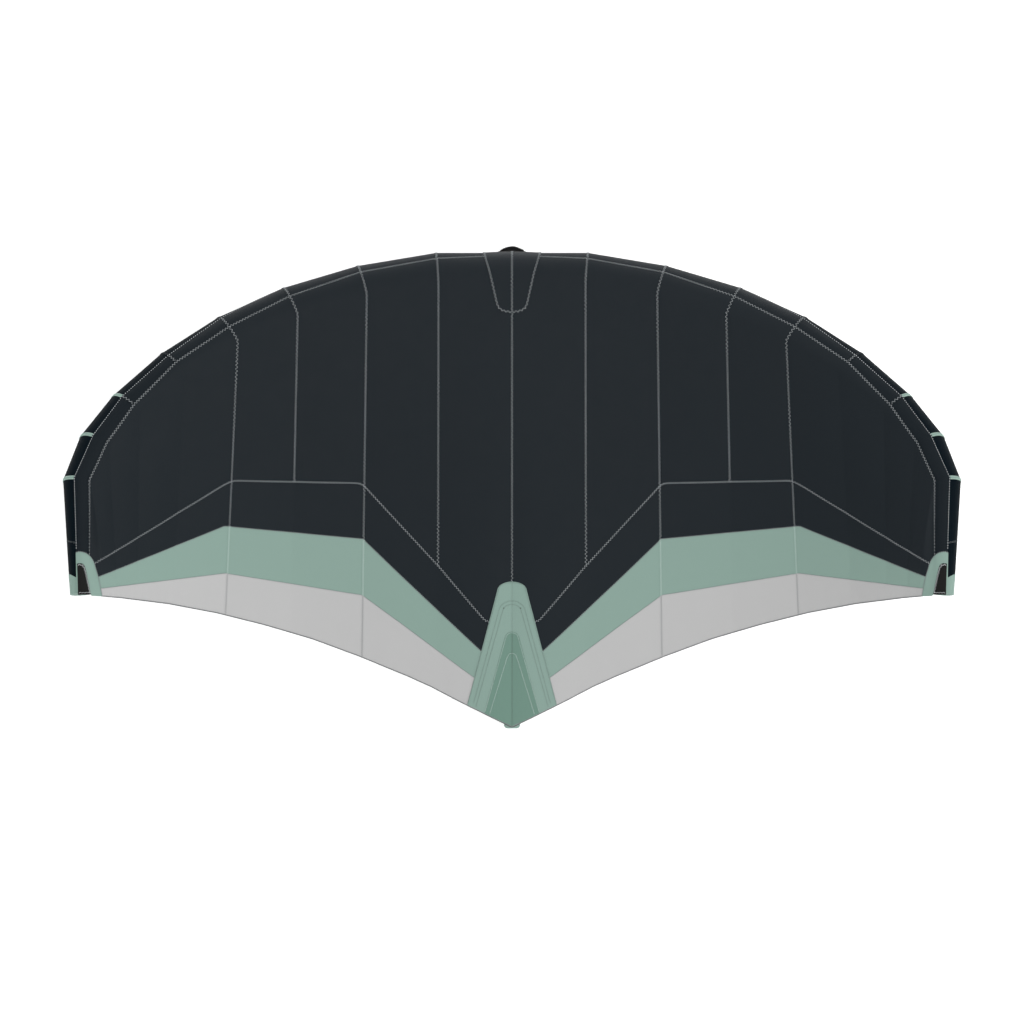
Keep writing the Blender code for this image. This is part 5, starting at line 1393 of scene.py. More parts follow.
# ------------------------------------------------------------------ straps and bindings: a closed section swept along a path
def sweep(name, C, S, U, half_w, half_t, mat, body="wing", nodes=(), round_n=4, flat_n=3, caps=True, sharp=45, mirror=False):
    """C centres, S sideways, U off the flat: a strap with rounded edges, one closed mesh."""
    C, S, U = (np.asarray(a, float) for a in (C, S, U))
    if mirror:
        C, S, U = (a * np.array([-1.0, 1, 1]) for a in (C, S, U))
    half_w, half_t = np.broadcast_to(half_w, len(C)), np.broadcast_to(half_t, len(C))
    q = np.linspace(-math.pi / 2, math.pi / 2, round_n + 1)
    core = half_w - half_t
    xs, ys = [], []
    for a in q:
        xs.append(core + half_t * math.cos(a)), ys.append(half_t * math.sin(a))
    for f in np.linspace(1, -1, flat_n + 2)[1:-1]:
        xs.append(core * f), ys.append(half_t)
    for a in q:
        xs.append(-core - half_t * math.cos(a)), ys.append(-half_t * math.sin(a) * -1)
    for k in range(round_n + 1):
        ys[round_n + 1 + flat_n + k] = half_t * math.cos(math.pi * k / round_n)
        xs[round_n + 1 + flat_n + k] = -core - half_t * math.sin(math.pi * k / round_n)
    for f in np.linspace(-1, 1, flat_n + 2)[1:-1]:
        xs.append(core * f), ys.append(-half_t)
    X, Y = np.stack(xs, 1), np.stack(ys, 1)
    P = C[:, None, :] + S[:, None, :] * X[..., None] + U[:, None, :] * Y[..., None]
    n, k = P.shape[:2]
    i, j = np.meshgrid(np.arange(n - 1), np.arange(k), indexing="ij")
    q = np.stack([i * k + j, i * k + (j + 1) % k, (i + 1) * k + (j + 1) % k, (i + 1) * k + j], -1).reshape(-1, 4)
    run = np.concatenate([[0], np.cumsum(np.linalg.norm(np.diff(C, axis=0), axis=1))])
    across = X * 1.0
    uv_v = np.stack([across, np.broadcast_to(run[:, None], across.shape)], -1).reshape(-1, 2)
    V = P.reshape(-1, 3)
    mid = (n // 2)
    f = q[mid * k]
    nrm = np.cross(V[f[1]] - V[f[0]], V[f[3]] - V[f[0]])
    out = V[f[0]] - C[mid]
    first, last = np.arange(k)[::-1][None, :], (np.arange(k) + (n - 1) * k)[None, :]
    if nrm @ out < 0:
        q, first, last = q[:, ::-1], first[:, ::-1], last[:, ::-1]
    faces = [q] + ([first, last] if caps else [])
    uvs = np.concatenate([uv_v[f.ravel()] for f in faces])
    mesh = raw_mesh(name, V, faces, [mat], loop_uv=uvs, sharp=sharp)
    if body is None:
        ob = bpy.data.objects.new(name, mesh)
        bpy.context.scene.collection.objects.link(ob)
        if nodes:
            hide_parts(*nodes)
        return ob
    return place(mesh, body, nodes)


# binding of the trailing edge
us = np.concatenate([np.linspace(k, k + 1, PER[k] + 1)[:-1] for k in range(9)] + [[9.0]])
us[0] = 0.0003
us[-1] = 8.9995
c = chord(us)
a, b = cloth(us, 1 - BINDING / c), cloth(us, np.ones_like(us))
N = cloth_normal(us, np.full(us.shape, 0.999))
S = unit(b - a)
U = unit(N - S * (N * S).sum(-1)[:, None])
mid = (a + b) / 2 + U * 0.0004
for m, side in ((False, "R"), (True, "L")):
    sweep("edge_binding_" + side, mid - S * 0.0004, S, U, 0.0016, 0.0009, HEM, nodes=("trailing_edge_hem_" + side,), mirror=m)
for off, flip in ((0.0004 + CLOTH, 1.0), (-0.0002, -1.0)):
    running("grey", cloth(us, 1 - HEM_WIDTH / c, off), N * flip, stitch=0.0040, pitch=0.0056, r=0.00038, lift=0.0)

# ------------------------------------------------------------------ strut
S_DEG = np.linspace(-90, 270, 97)[:-1]
STRUT_SEAMS = (0.250, -0.340)


def saddle_ring(deg, off, gap):
    """Front end of the strut, cut so that it fits round the leading edge."""
    p = strut_point(0.66, deg, off)
    h = np.minimum(p[..., 2] - REST_HEIGHT, 0.086)
    y = AXIS[0][1] - np.sqrt(np.maximum((LE_RADIUS[0] + gap) ** 2 - h * h, 0.0))
    return np.stack([p[..., 0], y, np.minimum(p[..., 2], under_canopy(y) - STRUT_DROP + off)], -1)


def strut_relief(y, deg):
    t, out = np.radians(deg), 0.0
    for k, y0 in enumerate(STRUT_SEAMS):
        d = np.abs(y - y0)
        wave = np.sin(t * 13 + k) * 0.6 + np.sin(t * 21 + 2.0 * k) * 0.4
        out = out - 0.0011 * np.exp(-(d / 0.006) ** 2) + 0.0008 * wave * np.exp(-d / 0.030) * (1 - np.exp(-(d / 0.008) ** 2))
    return out + 0.0006 * np.sin(t * 11 + 0.7) * np.exp(-np.abs(y - 0.66) / 0.05)


near = np.array([0, 0.003, 0.0065, 0.011, 0.017, 0.026, 0.038])
ys = np.concatenate([np.linspace(0.600, -0.872, 96)] + [np.concatenate([y0 + near, y0 - near[1:]]) for y0 in STRUT_SEAMS])
ys = np.unique(np.round(ys, 5))[::-1]
ys = ys[np.concatenate([[True], np.diff(ys) < -0.0014])]
front, second = saddle_ring(S_DEG, 0.0, 0.0009), strut_point(0.600, S_DEG)
rows = [front * (1 - t) + second * t for t in (0, 0.04, 0.12, 0.25, 0.42, 0.6, 0.8)]
rows += [strut_point(y, S_DEG, strut_relief(y, S_DEG)) for y in ys]
P = np.array(rows)
circ = np.radians(np.concatenate([S_DEG, [270.0]])) * 0.065
uv = np.stack([np.broadcast_to(circ, (len(P), 97)), np.broadcast_to(np.concatenate([P[:7, 0, 1], ys])[:, None], (len(P), 97))], -1)


def from_strut(Q):
    return Q - np.stack([np.zeros(Q.shape[:-1]), Q[..., 1], strut_axis(Q[..., 1])], -1)


layer("strut_casing", P, [NAVY], inward=True, wrap=True, uv=uv, toward=from_strut, slot="navy_casing", nodes=("strut_sleeve",), rests=["strut_bladder"])
for k, y0 in enumerate(STRUT_SEAMS):
    side = np.array([-1, -0.5, 0, 0.5, 1.0])
    P = np.array([strut_point(y0 + c * 0.009, S_DEG, 0.0003 + 0.0003 * (1 - c * c)) for c in side])
    layer("strut_ring_tape_%d" % k, P, [NAVY], thick=0.00045, wrap=True, toward=from_strut, slot="navy_casing", rests=["strut_bladder"])
    for c in (-0.0064, 0.0064):
        d = np.linspace(-90, 270, 121)
        P = strut_point(y0 + c, d, 0.0009)
        running("dark_C", P, unit(from_strut(P)), both_sides=False, r=0.0006)
# closing seam along the strut's underside
ys2 = np.linspace(0.634, -0.858, 150)
side = np.linspace(-1, 1, 5)
P = strut_point(ys2[:, None], -90 + np.degrees(side[None, :] * 0.008 / strut_radius(ys2)[:, None]), 0.0011)
layer("strut_seam_tape", P, [NAVY], thick=0.0004, toward=from_strut, slot="navy_casing", rests=["strut_bladder"])
for c in (-0.0055, 0.0055):
    P = strut_point(ys2, -90 + np.degrees(c / strut_radius(ys2)), 0.0017)
    running("dark_C", P, unit(from_strut(P)), both_sides=False, r=0.0006, pitch=0.0085, stitch=0.0056)

# saddle tape that joins the strut to the leading edge
deg = np.arange(-230.0, 50.1, 3.0)
ring = [saddle_ring(deg, d + 0.0008, 0.0004) for d in (0.018, 0.012, 0.006, 0.002)]
ring += [(saddle_ring(deg, 0.0014, 0.0020) + saddle_ring(deg, 0.0012, 0.0016) + np.array([0, -0.0012, 0])) / 2]
ring += [saddle_ring(deg, 0.0006, 0.0009) + np.array([0, -d, 0]) for d in (0.004, 0.009, 0.014, 0.018)]
P = np.stack(ring, 1)
layer("strut_saddle_tape", P, [NAVY], thick=0.0006, toward=lambda Q: from_strut(Q) + np.array([0, -0.04, 0]), slot="navy_casing", rests=["le_bladder", "strut_bladder"])
for col, shift in ((1, 0.0), (7, 0.0)):
    Q = P[:, col] + unit(from_strut(P[:, col]) + np.array([0, -0.04, 0])) * 0.0010
    zigzag("dark_C", Q, unit(from_strut(Q) + np.array([0, -0.06 if col == 1 else 0.0, 0])), both_sides=False, amp=0.0032, period=0.0095, r=0.0006)

# tapes that hang the strut from the canopy
ys3 = np.linspace(0.628, -0.858, 150)
r = strut_radius(ys3)
cols = [strut_point(ys3, a, 0.0004) for a in (44.0, 51.0, 58.0)]
for k, dx in enumerate((0.0, 0.0035, 0.010, 0.017)):
    x = r * math.cos(math.radians(58.0)) + 0.006 + dx
    q, _ = drape(x, ys3, -0.0004)
    if k == 0:
        q[:, 2] -= 0.0016
    cols.append(q)
P = np.stack(cols, 1)
both("strut_hanging_tape", lambda nm, m: layer(nm, P, [NAVY], thick=0.0005, toward=(1.0, 0.0, -0.7), mirror=m, slot="navy_casing", rests=["strut_sleeve"]))
Q = P[:, 1] + np.array([0.0006, 0, -0.0002])
running("dark", Q, unit(np.stack([np.ones(len(Q)), np.zeros(len(Q)), np.full(len(Q), 0.9)], 1)), r=0.0006, pitch=0.0085, stitch=0.0056)
Q = (P[:, 5] + P[:, 6]) / 2 + np.array([0, 0, -0.0007])
running("dark", Q, np.tile([0.0, 0, -1.0], (len(Q), 1)), r=0.0006, pitch=0.0085, stitch=0.0056)

# gathered end of the strut
tail = [(-0.860, 1.028), (-0.866, 1.030), (-0.8735, 1.022), (-0.881, 1.008), (-0.889, 1.0), (-0.897, 0.995), (-0.9025, 0.980), (-0.9065, 0.955), (-0.9100, 0.905),
        (-0.9128, 0.825), (-0.9148, 0.71), (-0.9158, 0.57), (-0.9161, 0.42), (-0.9158, 0.27), (-0.9152, 0.14), (-0.9148, 0.04)]
t = np.radians(S_DEG)
rows = []
for y, k in tail:
    fold = 0.0007 * (np.cos(12 * t + 0.5) * 0.6 + np.cos(19 * t) * 0.4) * min(1.0, max(0.0, (-0.885 - y) / 0.02)) * min(1.0, k * 1.6)
    rr = 0.0310 * k + fold
    rows.append(np.stack([rr * np.cos(t), np.full(96, y), 0.0310 + rr * np.sin(t)], -1))
P = np.array(rows)
P[..., 2] = np.maximum(P[..., 2], 0.0006)
layer("strut_tail_cap", P, [SAGE], thick=0.0008, inward=True, wrap=True, toward=lambda Q: Q - np.array([0, -0.84, 0.031]), slot="sage_cloth", held="gathered",
      nodes=("strut_tail_end",), rests=["strut_bladder"], sharp=60)
d = np.linspace(-58, 238, 66)
for y in (-0.8645, -0.8795):
    P = np.array([0, y, 0.031]) + 0.0322 * np.stack([np.cos(np.radians(d)), 0 * d, np.sin(np.radians(d))], -1)
    running("moss_C", P, unit(P - np.array([0, y, 0.031])), both_sides=False, r=0.0005, pitch=0.0062, stitch=0.0042)


# ------------------------------------------------------------------ handles
def smooth_path(knots, sub=5):
    """Catmull-Rom through rows of numbers."""
    k = np.array(knots, float)
    e = np.concatenate([[2 * k[0] - k[1]], k, [2 * k[-1] - k[-2]]])
    out = []
    for i in range(1, len(e) - 2):
        a, b, c, d = e[i - 1:i + 3]
        for t in np.linspace(0, 1, sub, endpoint=False):
            out.append(0.5 * (2 * b + (c - a) * t + (2 * a - 5 * b + 4 * c - d) * t * t + (3 * b - a - 3 * c + d) * t ** 3))
    return np.array(out + [k[-1]])


def strap_frame(C, S):
    T = unit(np.gradient(C, axis=0))
    U = unit(np.cross(T, np.broadcast_to(S, C.shape)))
    return unit(np.cross(U, T)), U


def box_stitch(key, corner, across, along_v, n, both_diagonals=True, **kw):
    """Rectangle of stitches with its diagonals. corner is a function of (x, s) that gives points; n their normals."""
    a, b = across, along_v
    lines = [((-a, b[0]), (a, b[0])), ((a, b[0]), (a, b[1])), ((a, b[1]), (-a, b[1])), ((-a, b[1]), (-a, b[0])), ((-a, b[0]), (a, b[1]))]
    if both_diagonals:
        lines.append(((a, b[0]), (-a, b[1])))
    for (x0, s0), (x1, s1) in lines:
        f = np.linspace(0, 1, 8)
        P = corner(x0 + (x1 - x0) * f, s0 + (s1 - s0) * f)
        running(key, P, n(P), both_sides=False, stitch=0.0026, pitch=0.0038, r=0.0005, lift=0.0001, **kw)


ROOT = 0.036


def handle(body, y_front, y_rear, drop, pad_front, pad_rear):
    a, b = strut_point(y_front, -90), strut_point(y_rear, -90)
    a, b = a - np.array([0, 0, 0.0085]), b - np.array([0, 0, 0.0085])
    along = unit(b - a)
    down = unit(np.cross(along, (1.0, 0, 0)))
    down = down if down[2] < 0 else -down
    span = float(np.linalg.norm(b - a))
    inset = min(0.055, span * 0.2)

    # reinforcement that the webbing is sewn to, with rounded ends
    ys = np.concatenate([[pad_front, pad_front - 0.001, pad_front - 0.003, pad_front - 0.007, pad_front - 0.013, pad_front - 0.021, pad_front - 0.030],
                         np.linspace(pad_front - 0.040, pad_rear + 0.040, int((pad_front - pad_rear) / 0.012)),
                         [pad_rear + 0.030, pad_rear + 0.021, pad_rear + 0.013, pad_rear + 0.007, pad_rear + 0.003, pad_rear + 0.001, pad_rear]])
    q = np.clip(np.minimum(pad_front - ys, ys - pad_rear) / 0.030, 0, 1)
    half = 33.75 * (0.42 + 0.58 * np.sqrt(1 - (1 - q) ** 2))
    c = np.linspace(-1, 1, 21)
    press = edge_press(len(ys), 21, 1.6)
    P = strut_point(ys[:, None], -90 + half[:, None] * c[None, :], 0.0013 + 0.0004 * press)
    layer(body + "_reinforcement", P, [PAD], thick=0.0013, toward=from_strut, slot="black_webbing", nodes=(body + "_pad",), rests=["strut_sleeve"])
    for inset_deg in (3.2, 6.4):
        h = half - inset_deg
        edge_y = ys.copy()
        keep = (pad_front - ys >= inset_deg * 0.0011) & (ys - pad_rear >= inset_deg * 0.0011)
        for sgn in (-1, 1):
            P = strut_point(edge_y[keep], -90 + sgn * h[keep], 0.0031)
            running("dark_C", P, unit(from_strut(P)), both_sides=False, r=0.0006, pitch=0.0062, stitch=0.0042)
        for y, f in ((pad_front - inset_deg * 0.0011, 0.5), (pad_rear + inset_deg * 0.0011, 0.5)):
            hh = float(np.interp(-y, -ys, h))
            d = -90 + np.linspace(-hh, hh, 20)
            P = strut_point(np.full(20, y), d, 0.0031)
            running("dark_C", P, unit(from_strut(P)), both_sides=False, r=0.0006, pitch=0.0062, stitch=0.0042)

    # webbing: sewn down under the strut, gathered at the swing line, down into the grip and back up
    top = 0.0030
    knots = []
    for s, w, t in ((-ROOT, 0.0125, 0.0010), (-0.028, 0.0125, 0.0010), (-0.018, 0.0124, 0.0010)):
        p = strut_point(a[1] + along[1] * s, -90, top + t)
        knots.append([*((p - a) @ np.stack([along, down], 1)), w, t])
    knots += [(-0.0095, knots[-1][1] + 0.0004, 0.0108, 0.0012), (-0.0035, -0.0024, 0.0072, 0.0016), (0.0010, 0.0002, 0.0050, 0.0019), (0.0062, 0.0050, 0.0052, 0.0018),
              (0.0130, 0.0140, 0.0078, 0.0014), (inset * 0.48, drop * 0.44, 0.0112, 0.0011), (inset * 0.72, drop * 0.70, 0.0120, 0.0010), (inset * 0.92, drop * 0.90, 0.0110, 0.0010),
              (inset * 1.10, drop * 0.985, 0.0080, 0.0011), (inset * 1.35, drop, 0.0074, 0.0011), (span * 0.38, drop, 0.0074, 0.0011)]
    k = smooth_path(knots)
    A = a + along * k[:, :1] + down * k[:, 1:2]
    # the rear root follows the strut's own line there
    B = b - along * k[::-1, :1] + down * k[::-1, 1:2]
    for i, kk in enumerate(k[::-1]):
        if kk[0] < -0.006:
            p = strut_point(b[1] - along[1] * kk[0], -90, top + kk[3])
            B[i, 2] += (p[2] - B[i, 2]) * min(1.0, (-kk[0] - 0.006) / 0.010)
    C = np.concatenate([A, B])
    W, T = np.concatenate([k[:, 2], k[::-1, 2]]), np.concatenate([k[:, 3], k[::-1, 3]])
    S, U = strap_frame(C, np.array([1.0, 0, 0]))
    ob = sweep(body + "_strap", C, S, U, W, T, BLACK, body=None, nodes=(body + "_webbing",), flat_n=5)
    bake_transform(ob)
    for end, sg in ((a, 1.0), (b, -1.0)):
        corner = lambda x, s, end=end, sg=sg: np.stack([x, end[1] + along[1] * sg * s, strut_point(end[1] + along[1] * sg * s, -90, top + 0.0021)[:, 2]], -1)
        box_stitch("grey_C", corner, 0.0098, (-ROOT + 0.003, -0.013), lambda P: np.tile([0.0, 0, -1.0], (len(P), 1)))

    # grip: foam sleeve with shallow grooves, a sewn seam and cloth cuffs
    c0 = (a + b) / 2 + down * drop
    half = span / 2 - inset * 1.20
    X = np.array([1.0, 0, 0])
    sgrid = np.unique(np.concatenate([np.linspace(-half, half, int(half * 2 / 0.0026)), -half + np.array([0, 0.0006, 0.0016, 0.003, 0.005]), half - np.array([0, 0.0006, 0.0016, 0.003, 0.005])]))
    e = np.clip((half - np.abs(sgrid)) / 0.005, 0, 1)
    rad = 0.0150 * (0.88 + 0.12 * np.sqrt(1 - (1 - e) ** 2)) + 0.0004 * np.cos(math.pi * sgrid / 2 / half)
    groove = 0.0
    zone = max(half - 0.030, 0.01)
    for g in np.linspace(-zone, zone, max(5, int(zone * 2 / 0.013))):
        groove = groove + 0.00075 * np.exp(-((sgrid - g) / 0.0011) ** 2)
    rad = rad - groove
    q = np.linspace(0, 2 * math.pi, 49)[:-1]
    seam = 0.0006 * np.exp(-((q - math.pi * 1.5) / 0.07) ** 2)
    P = (c0 + along * sgrid[:, None])[:, None, :] + (X * np.cos(q)[:, None] + down * np.sin(q)[:, None] * 0.94)[None] * (rad[:, None] - seam[None, :])[..., None]
    ob = layer(body + "_foam", P, [FOAM], thick=0.0050, inward=True, wrap=True, toward=lambda Q: Q - (c0 + along * sgrid[:, None])[:, None, :], body=body, slot="black_foam",
               nodes=(body + "_grip",), declare=False)
    line = c0 + along * np.linspace(-half + 0.018, half - 0.018, 60)[:, None] - down * 0.0142
    zigzag("dark_C@" + body, line, np.tile(-down, (60, 1)), both_sides=False, amp=0.0017, period=0.0050, r=0.00045, lift=0.0)
    for m, sg in (("a", -1), ("b", 1)):
        s = sg * (half - np.array([0.0015, 0.0022, 0.0035, 0.008, 0.0125, 0.0142, 0.0150]))
        off = np.array([0.0002, 0.0008, 0.0011, 0.0011, 0.0011, 0.0008, 0.0002])
        rr = np.interp(s, sgrid, rad + groove) + off
        P = (c0 + along * s[:, None])[:, None, :] + (X * np.cos(q)[:, None] + down * np.sin(q)[:, None] * 0.94)[None] * rr[:, None, None]
        axis_pts = c0 + along * s[:, None]
        layer("%s_cuff_%s" % (body, m), P, [PAD], thick=0.0007, inward=True, wrap=True, toward=lambda Q, ap=axis_pts: Q - ap[:, None, :], body=body, slot="black_webbing", rests=[body + "_grip"])
        for ds in (0.0045, 0.0115):
            ring_c = c0 + along * (sg * (half - ds))
            qq = np.linspace(0, 2 * math.pi, 60)
            n = X * np.cos(qq)[:, None] + down * np.sin(qq)[:, None] * 0.94
            running("grey_C@" + body, ring_c + n * (0.0150 + 0.0013), unit(n), both_sides=False, r=0.00045, pitch=0.0044, stitch=0.0030, lift=0.0)
    return a, b, along, down


handle("front_handle", 0.535, 0.235, 0.076, 0.630, 0.190)
handle("rear_handle", 0.115, -0.145, 0.058, 0.155, -0.185)

# ------------------------------------------------------------------ nose handle
TILT = math.radians(30.0)
NOSE_C = np.array([0.0, AXIS[0][1], REST_HEIGHT])
NOSE_D, NOSE_T = np.array([0.0, math.cos(TILT), -math.sin(TILT)]), np.array([0.0, math.sin(TILT), math.cos(TILT)])


def nose_at(x, off=None):
    x = np.asarray(x, float)
    if off is None:
        off = 0.0105 + 0.0245 * np.cos(math.pi * np.clip(x / 0.085, -1, 1) / 2) ** 2
    return NOSE_C + NOSE_D * (LE_RADIUS[0] + np.asarray(off))[..., None] + np.stack([x, 0 * x, 0 * x], -1)


half_k = [(0.134, 0.0030, 0.0115, 0.0009), (0.126, 0.0030, 0.0115, 0.0009), (0.115, 0.0030, 0.0115, 0.0009), (0.105, 0.0036, 0.0105, 0.0010), (0.097, 0.0052, 0.0082, 0.0013),
          (0.0905, 0.0080, 0.0056, 0.0016), (0.085, 0.0107, 0.0044, 0.0018), (0.078, 0.0130, 0.0050, 0.0017), (0.068, 0.0105 + 0.0245 * math.cos(math.pi * 0.068 / 0.17) ** 2, 0.0075, 0.0013)]
half_k += [(x, 0.0105 + 0.0245 * math.cos(math.pi * x / 0.17) ** 2, 0.0098, 0.0011) for x in (0.055, 0.042, 0.028, 0.014)]
knots = [(-x, o, w, t) for x, o, w, t in half_k] + [(0.0, 0.0350, 0.0098, 0.0011)] + half_k[::-1]
k = smooth_path(knots)
C = nose_at(k[:, 0], k[:, 1])
S, U = strap_frame(C, NOSE_T)
ob = sweep("nose_handle_strap", C, S, U, k[:, 2], k[:, 3], BLACK, body=None, nodes=("nose_handle_webbing",), flat_n=5)
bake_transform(ob)
for sg in (-1, 1):
    corner = lambda x, s, sg=sg: nose_at(sg * s, 0.0041) + NOSE_T * x[:, None]
    box_stitch("grey_C", corner, 0.0088, (0.1085, 0.1310), lambda P: np.tile(NOSE_D, (len(P), 1)))
    xs = np.linspace(0.100, 0.138, 14)
    dg = np.linspace(-38.5, -21.5, 9)
    x1 = np.array([tube(1.0, d)[0] for d in dg])
    press = edge_press(14, 9, 1.6)
    P = tube(xs[:, None] / x1[None, :], dg[None, :], 0.0002 + 0.0016 * np.clip((0.1125 - xs) / 0.003, 0, 1)[:, None] + 0.0002 * press)
    P[..., 0] *= sg
    layer("nose_handle_anchor_" + ("L" if sg < 0 else "R"), P, [PAD], thick=0.0006, toward=tuple(NOSE_D), slot="black_webbing", rests=["le_bladder"])

xs = np.unique(np.concatenate([np.linspace(-0.0445, 0.0445, 47), [-0.0440, -0.0432, -0.0420, 0.0420, 0.0432, 0.0440]]))
q = np.linspace(0, 2 * math.pi, 41)[:-1]
e = np.clip((0.0445 - np.abs(xs)) / 0.006, 0, 1)
kk = (0.62 + 0.38 * np.sqrt(1 - (1 - e) ** 2)) * (0.66 + 0.34 * np.cos(math.pi * xs / 0.089))
base = nose_at(xs)
T = unit(np.gradient(base, axis=0))
Nn = unit(np.cross(NOSE_T, T))
Nn = Nn * np.where((Nn @ NOSE_D) > 0, 1.0, -1.0)[:, None]
cx, sy = np.sign(np.cos(q)) * np.abs(np.cos(q)) ** 0.85, np.sin(q)
pinch = 1 - 0.10 * np.exp(-(np.abs(np.cos(q)) - 1) ** 2 / 0.004)
P = base[:, None, :] + NOSE_T * (0.0186 * kk[:, None] * cx[None])[..., None] + Nn[:, None, :] * (0.0068 * (0.5 + 0.5 * kk)[:, None] * (sy * pinch)[None])[..., None]
P = P + Nn[:, None, :] * (0.0004 * np.sin(xs * 190)[:, None] * np.abs(sy)[None] * np.sign(sy)[None])[..., None]
ob = layer("nose_handle_padding", P, [FOAM], thick=0.0040, inward=True, wrap=True, toward=lambda Q: Q - base[:, None, :], body="nose_handle", slot="black_foam", nodes=("nose_handle_pad",),
           declare=False)
for sg in (-1, 1):
    Q = base + NOSE_T * (0.0150 * kk[:, None]) * sg + Nn * 0.0050
    running("dark_C@nose_handle", Q[3:-3], unit(Nn + NOSE_T * sg * 0.9)[3:-3], both_sides=False, r=0.00045, pitch=0.0044, stitch=0.0030, lift=0.0003)

# ------------------------------------------------------------------ leash loop
LOOP_Y = 0.592
lp = strut_point(LOOP_Y, -90) - np.array([0, 0, 0.0080])


def eye(q):
    w = 0.0095 * (0.55 + 0.45 * np.minimum(1.0, (1 + np.sin(q + math.pi)) * 0.9)) - 0.0012
    return np.stack([w * np.cos(q), -0.0190 + 0.0200 * np.sin(q)], -1)


down_side = eye(np.radians(np.linspace(58, -90, 15)))
loop = [(0.036, 0.0038), (0.027, 0.0038), (0.017, 0.0037), (0.0105, 0.0030), (0.0062, 0.0014), (0.0040, -0.0008)] + [tuple(p) for p in down_side]
loop += [(-y, z) for y, z in down_side[-2::-1]] + [(-0.0040, -0.0008), (-0.0062, 0.0014), (-0.0105, 0.0030), (-0.0150, 0.0037)]
k = smooth_path(loop, 3)
C = np.stack([np.zeros(len(k)), LOOP_Y + k[:, 0], lp[2] + k[:, 1]], -1)
surf = strut_point(C[:, 1], -90, 0.0042)[:, 2]
blend_z = np.clip((k[:, 1] - 0.0014) / 0.0020, 0, 1)
C[:, 2] = C[:, 2] * (1 - blend_z) + surf * blend_z
S, U = strap_frame(C, np.array([1.0, 0, 0]))
ob = sweep("leash_loop_strap", C, S, U, 0.0100, 0.0011, BLACK, body=None, nodes=("leash_loop",), flat_n=5)
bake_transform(ob)
corner = lambda x, s: np.stack([x, LOOP_Y + s, strut_point(LOOP_Y + s, -90, 0.0054)[:, 2]], -1)
box_stitch("grey_C", corner, 0.0082, (0.0135, 0.0335), lambda P: np.tile([0.0, 0, -1.0], (len(P), 1)))


# ------------------------------------------------------------------ valve and hose
def frame_at(origin, axis, across):
    z = Vector(axis).normalized()
    x = Vector(across)
    x = (x - z * x.dot(z)).normalized()
    m = Matrix((x, z.cross(x), z)).transposed().to_4x4()
    m.translation = Vector(origin)
    return m


def behind_tube(x, tilt):
    d = np.array([0.0, -math.cos(tilt), -math.sin(tilt)])
    c = np.array([x, AXIS[0][1], REST_HEIGHT])
    return frame_at(c + d * LE_RADIUS[0] * math.cos(math.pi / TUBE_SIDES / 2), d, (1, 0, 0)), c, d


vm, v_c, v_d = behind_tube(0.185, math.radians(25.0))
hm, h_c, h_d = behind_tube(-0.155, math.radians(22.0))
VM, HM = np.array(vm), np.array(hm)


def at_matrix(M, x, y, z):
    x, y, z = np.broadcast_arrays(np.asarray(x, float), np.asarray(y, float), np.asarray(z, float))
    return np.stack([x, y, z], -1) @ M[:3, :3].T + M[:3, 3]


def on_back(p, off):
    """Points moved on to the middle length of the tube."""
    v = p - np.array([0, AXIS[0][1], REST_HEIGHT])
    v[..., 0] = 0
    v = unit(v) * (LE_RADIUS[0] + np.asarray(off))[..., None]
    v[..., 0] = p[..., 0]
    return v + np.array([0, AXIS[0][1], REST_HEIGHT])


def disc_patch(name, M, radii, mat, slot, thick=0.0008, off=0.0004):
    q = np.linspace(0, 2 * math.pi, 73)[:-1]
    rows = [on_back(at_matrix(M, r * np.cos(q), r * np.sin(q), 0.0), np.full(72, off + (0.0002 if 0 < i < len(radii) - 1 else 0.0))) for i, r in enumerate(radii)]
    P = np.array(rows)
    rr = np.array(radii)[:, None]
    qq = np.linspace(0, 2 * math.pi, 73)
    uv = np.stack([rr * np.cos(qq), rr * np.sin(qq)], -1)
    layer(name, P, [mat], thick=thick, wrap=True, uv=uv, toward=tuple(M[:3, 2]), slot=slot, rests=["le_bladder"])


def circle_seam(key, M, radius, off, **kw):
    q = np.linspace(0, 2 * math.pi, 90)
    P = on_back(at_matrix(M, radius * np.cos(q), radius * np.sin(q), 0.0), np.full(90, off))
    c = np.stack([P[:, 0], np.full(90, AXIS[0][1]), np.full(90, REST_HEIGHT)], -1)
    zigzag(key, P, unit(P - c), both_sides=False, **kw)


disc_patch("valve_patch", VM, (0.0188, 0.0205, 0.026, 0.033, 0.040, 0.0455, 0.0470), NAVY, "navy_casing")
circle_seam("dark_C", VM, 0.0425, 0.0013, amp=0.0026, period=0.0080, r=0.0006)
circle_seam("dark_C", VM, 0.0275, 0.0013, amp=0.0018, period=0.0062, r=0.0005)
disc_patch("hose_patch", HM, (0.0080, 0.0100, 0.015, 0.022, 0.029, 0.0340, 0.0352), NAVY, "navy_casing")
circle_seam("dark_C", HM, 0.0310, 0.0013, amp=0.0022, period=0.0072, r=0.0005)

# grips on the cap, and the thread-like ribs round it
q = np.linspace(0, 2 * math.pi, 37)[:-1]
q = q[np.abs(np.mod(q + math.pi, 2 * math.pi) - math.pi) > 0.36]
A, B = at_matrix(VM, 0.0184 * np.cos(q), 0.0184 * np.sin(q), 0.0143), at_matrix(VM, 0.0186 * np.cos(q), 0.0186 * np.sin(q), 0.0186)
sew("coil_C@valve_cap", A, B, at_matrix(VM, np.cos(q), np.sin(q), 0) - VM[:3, 3], 0.0007)
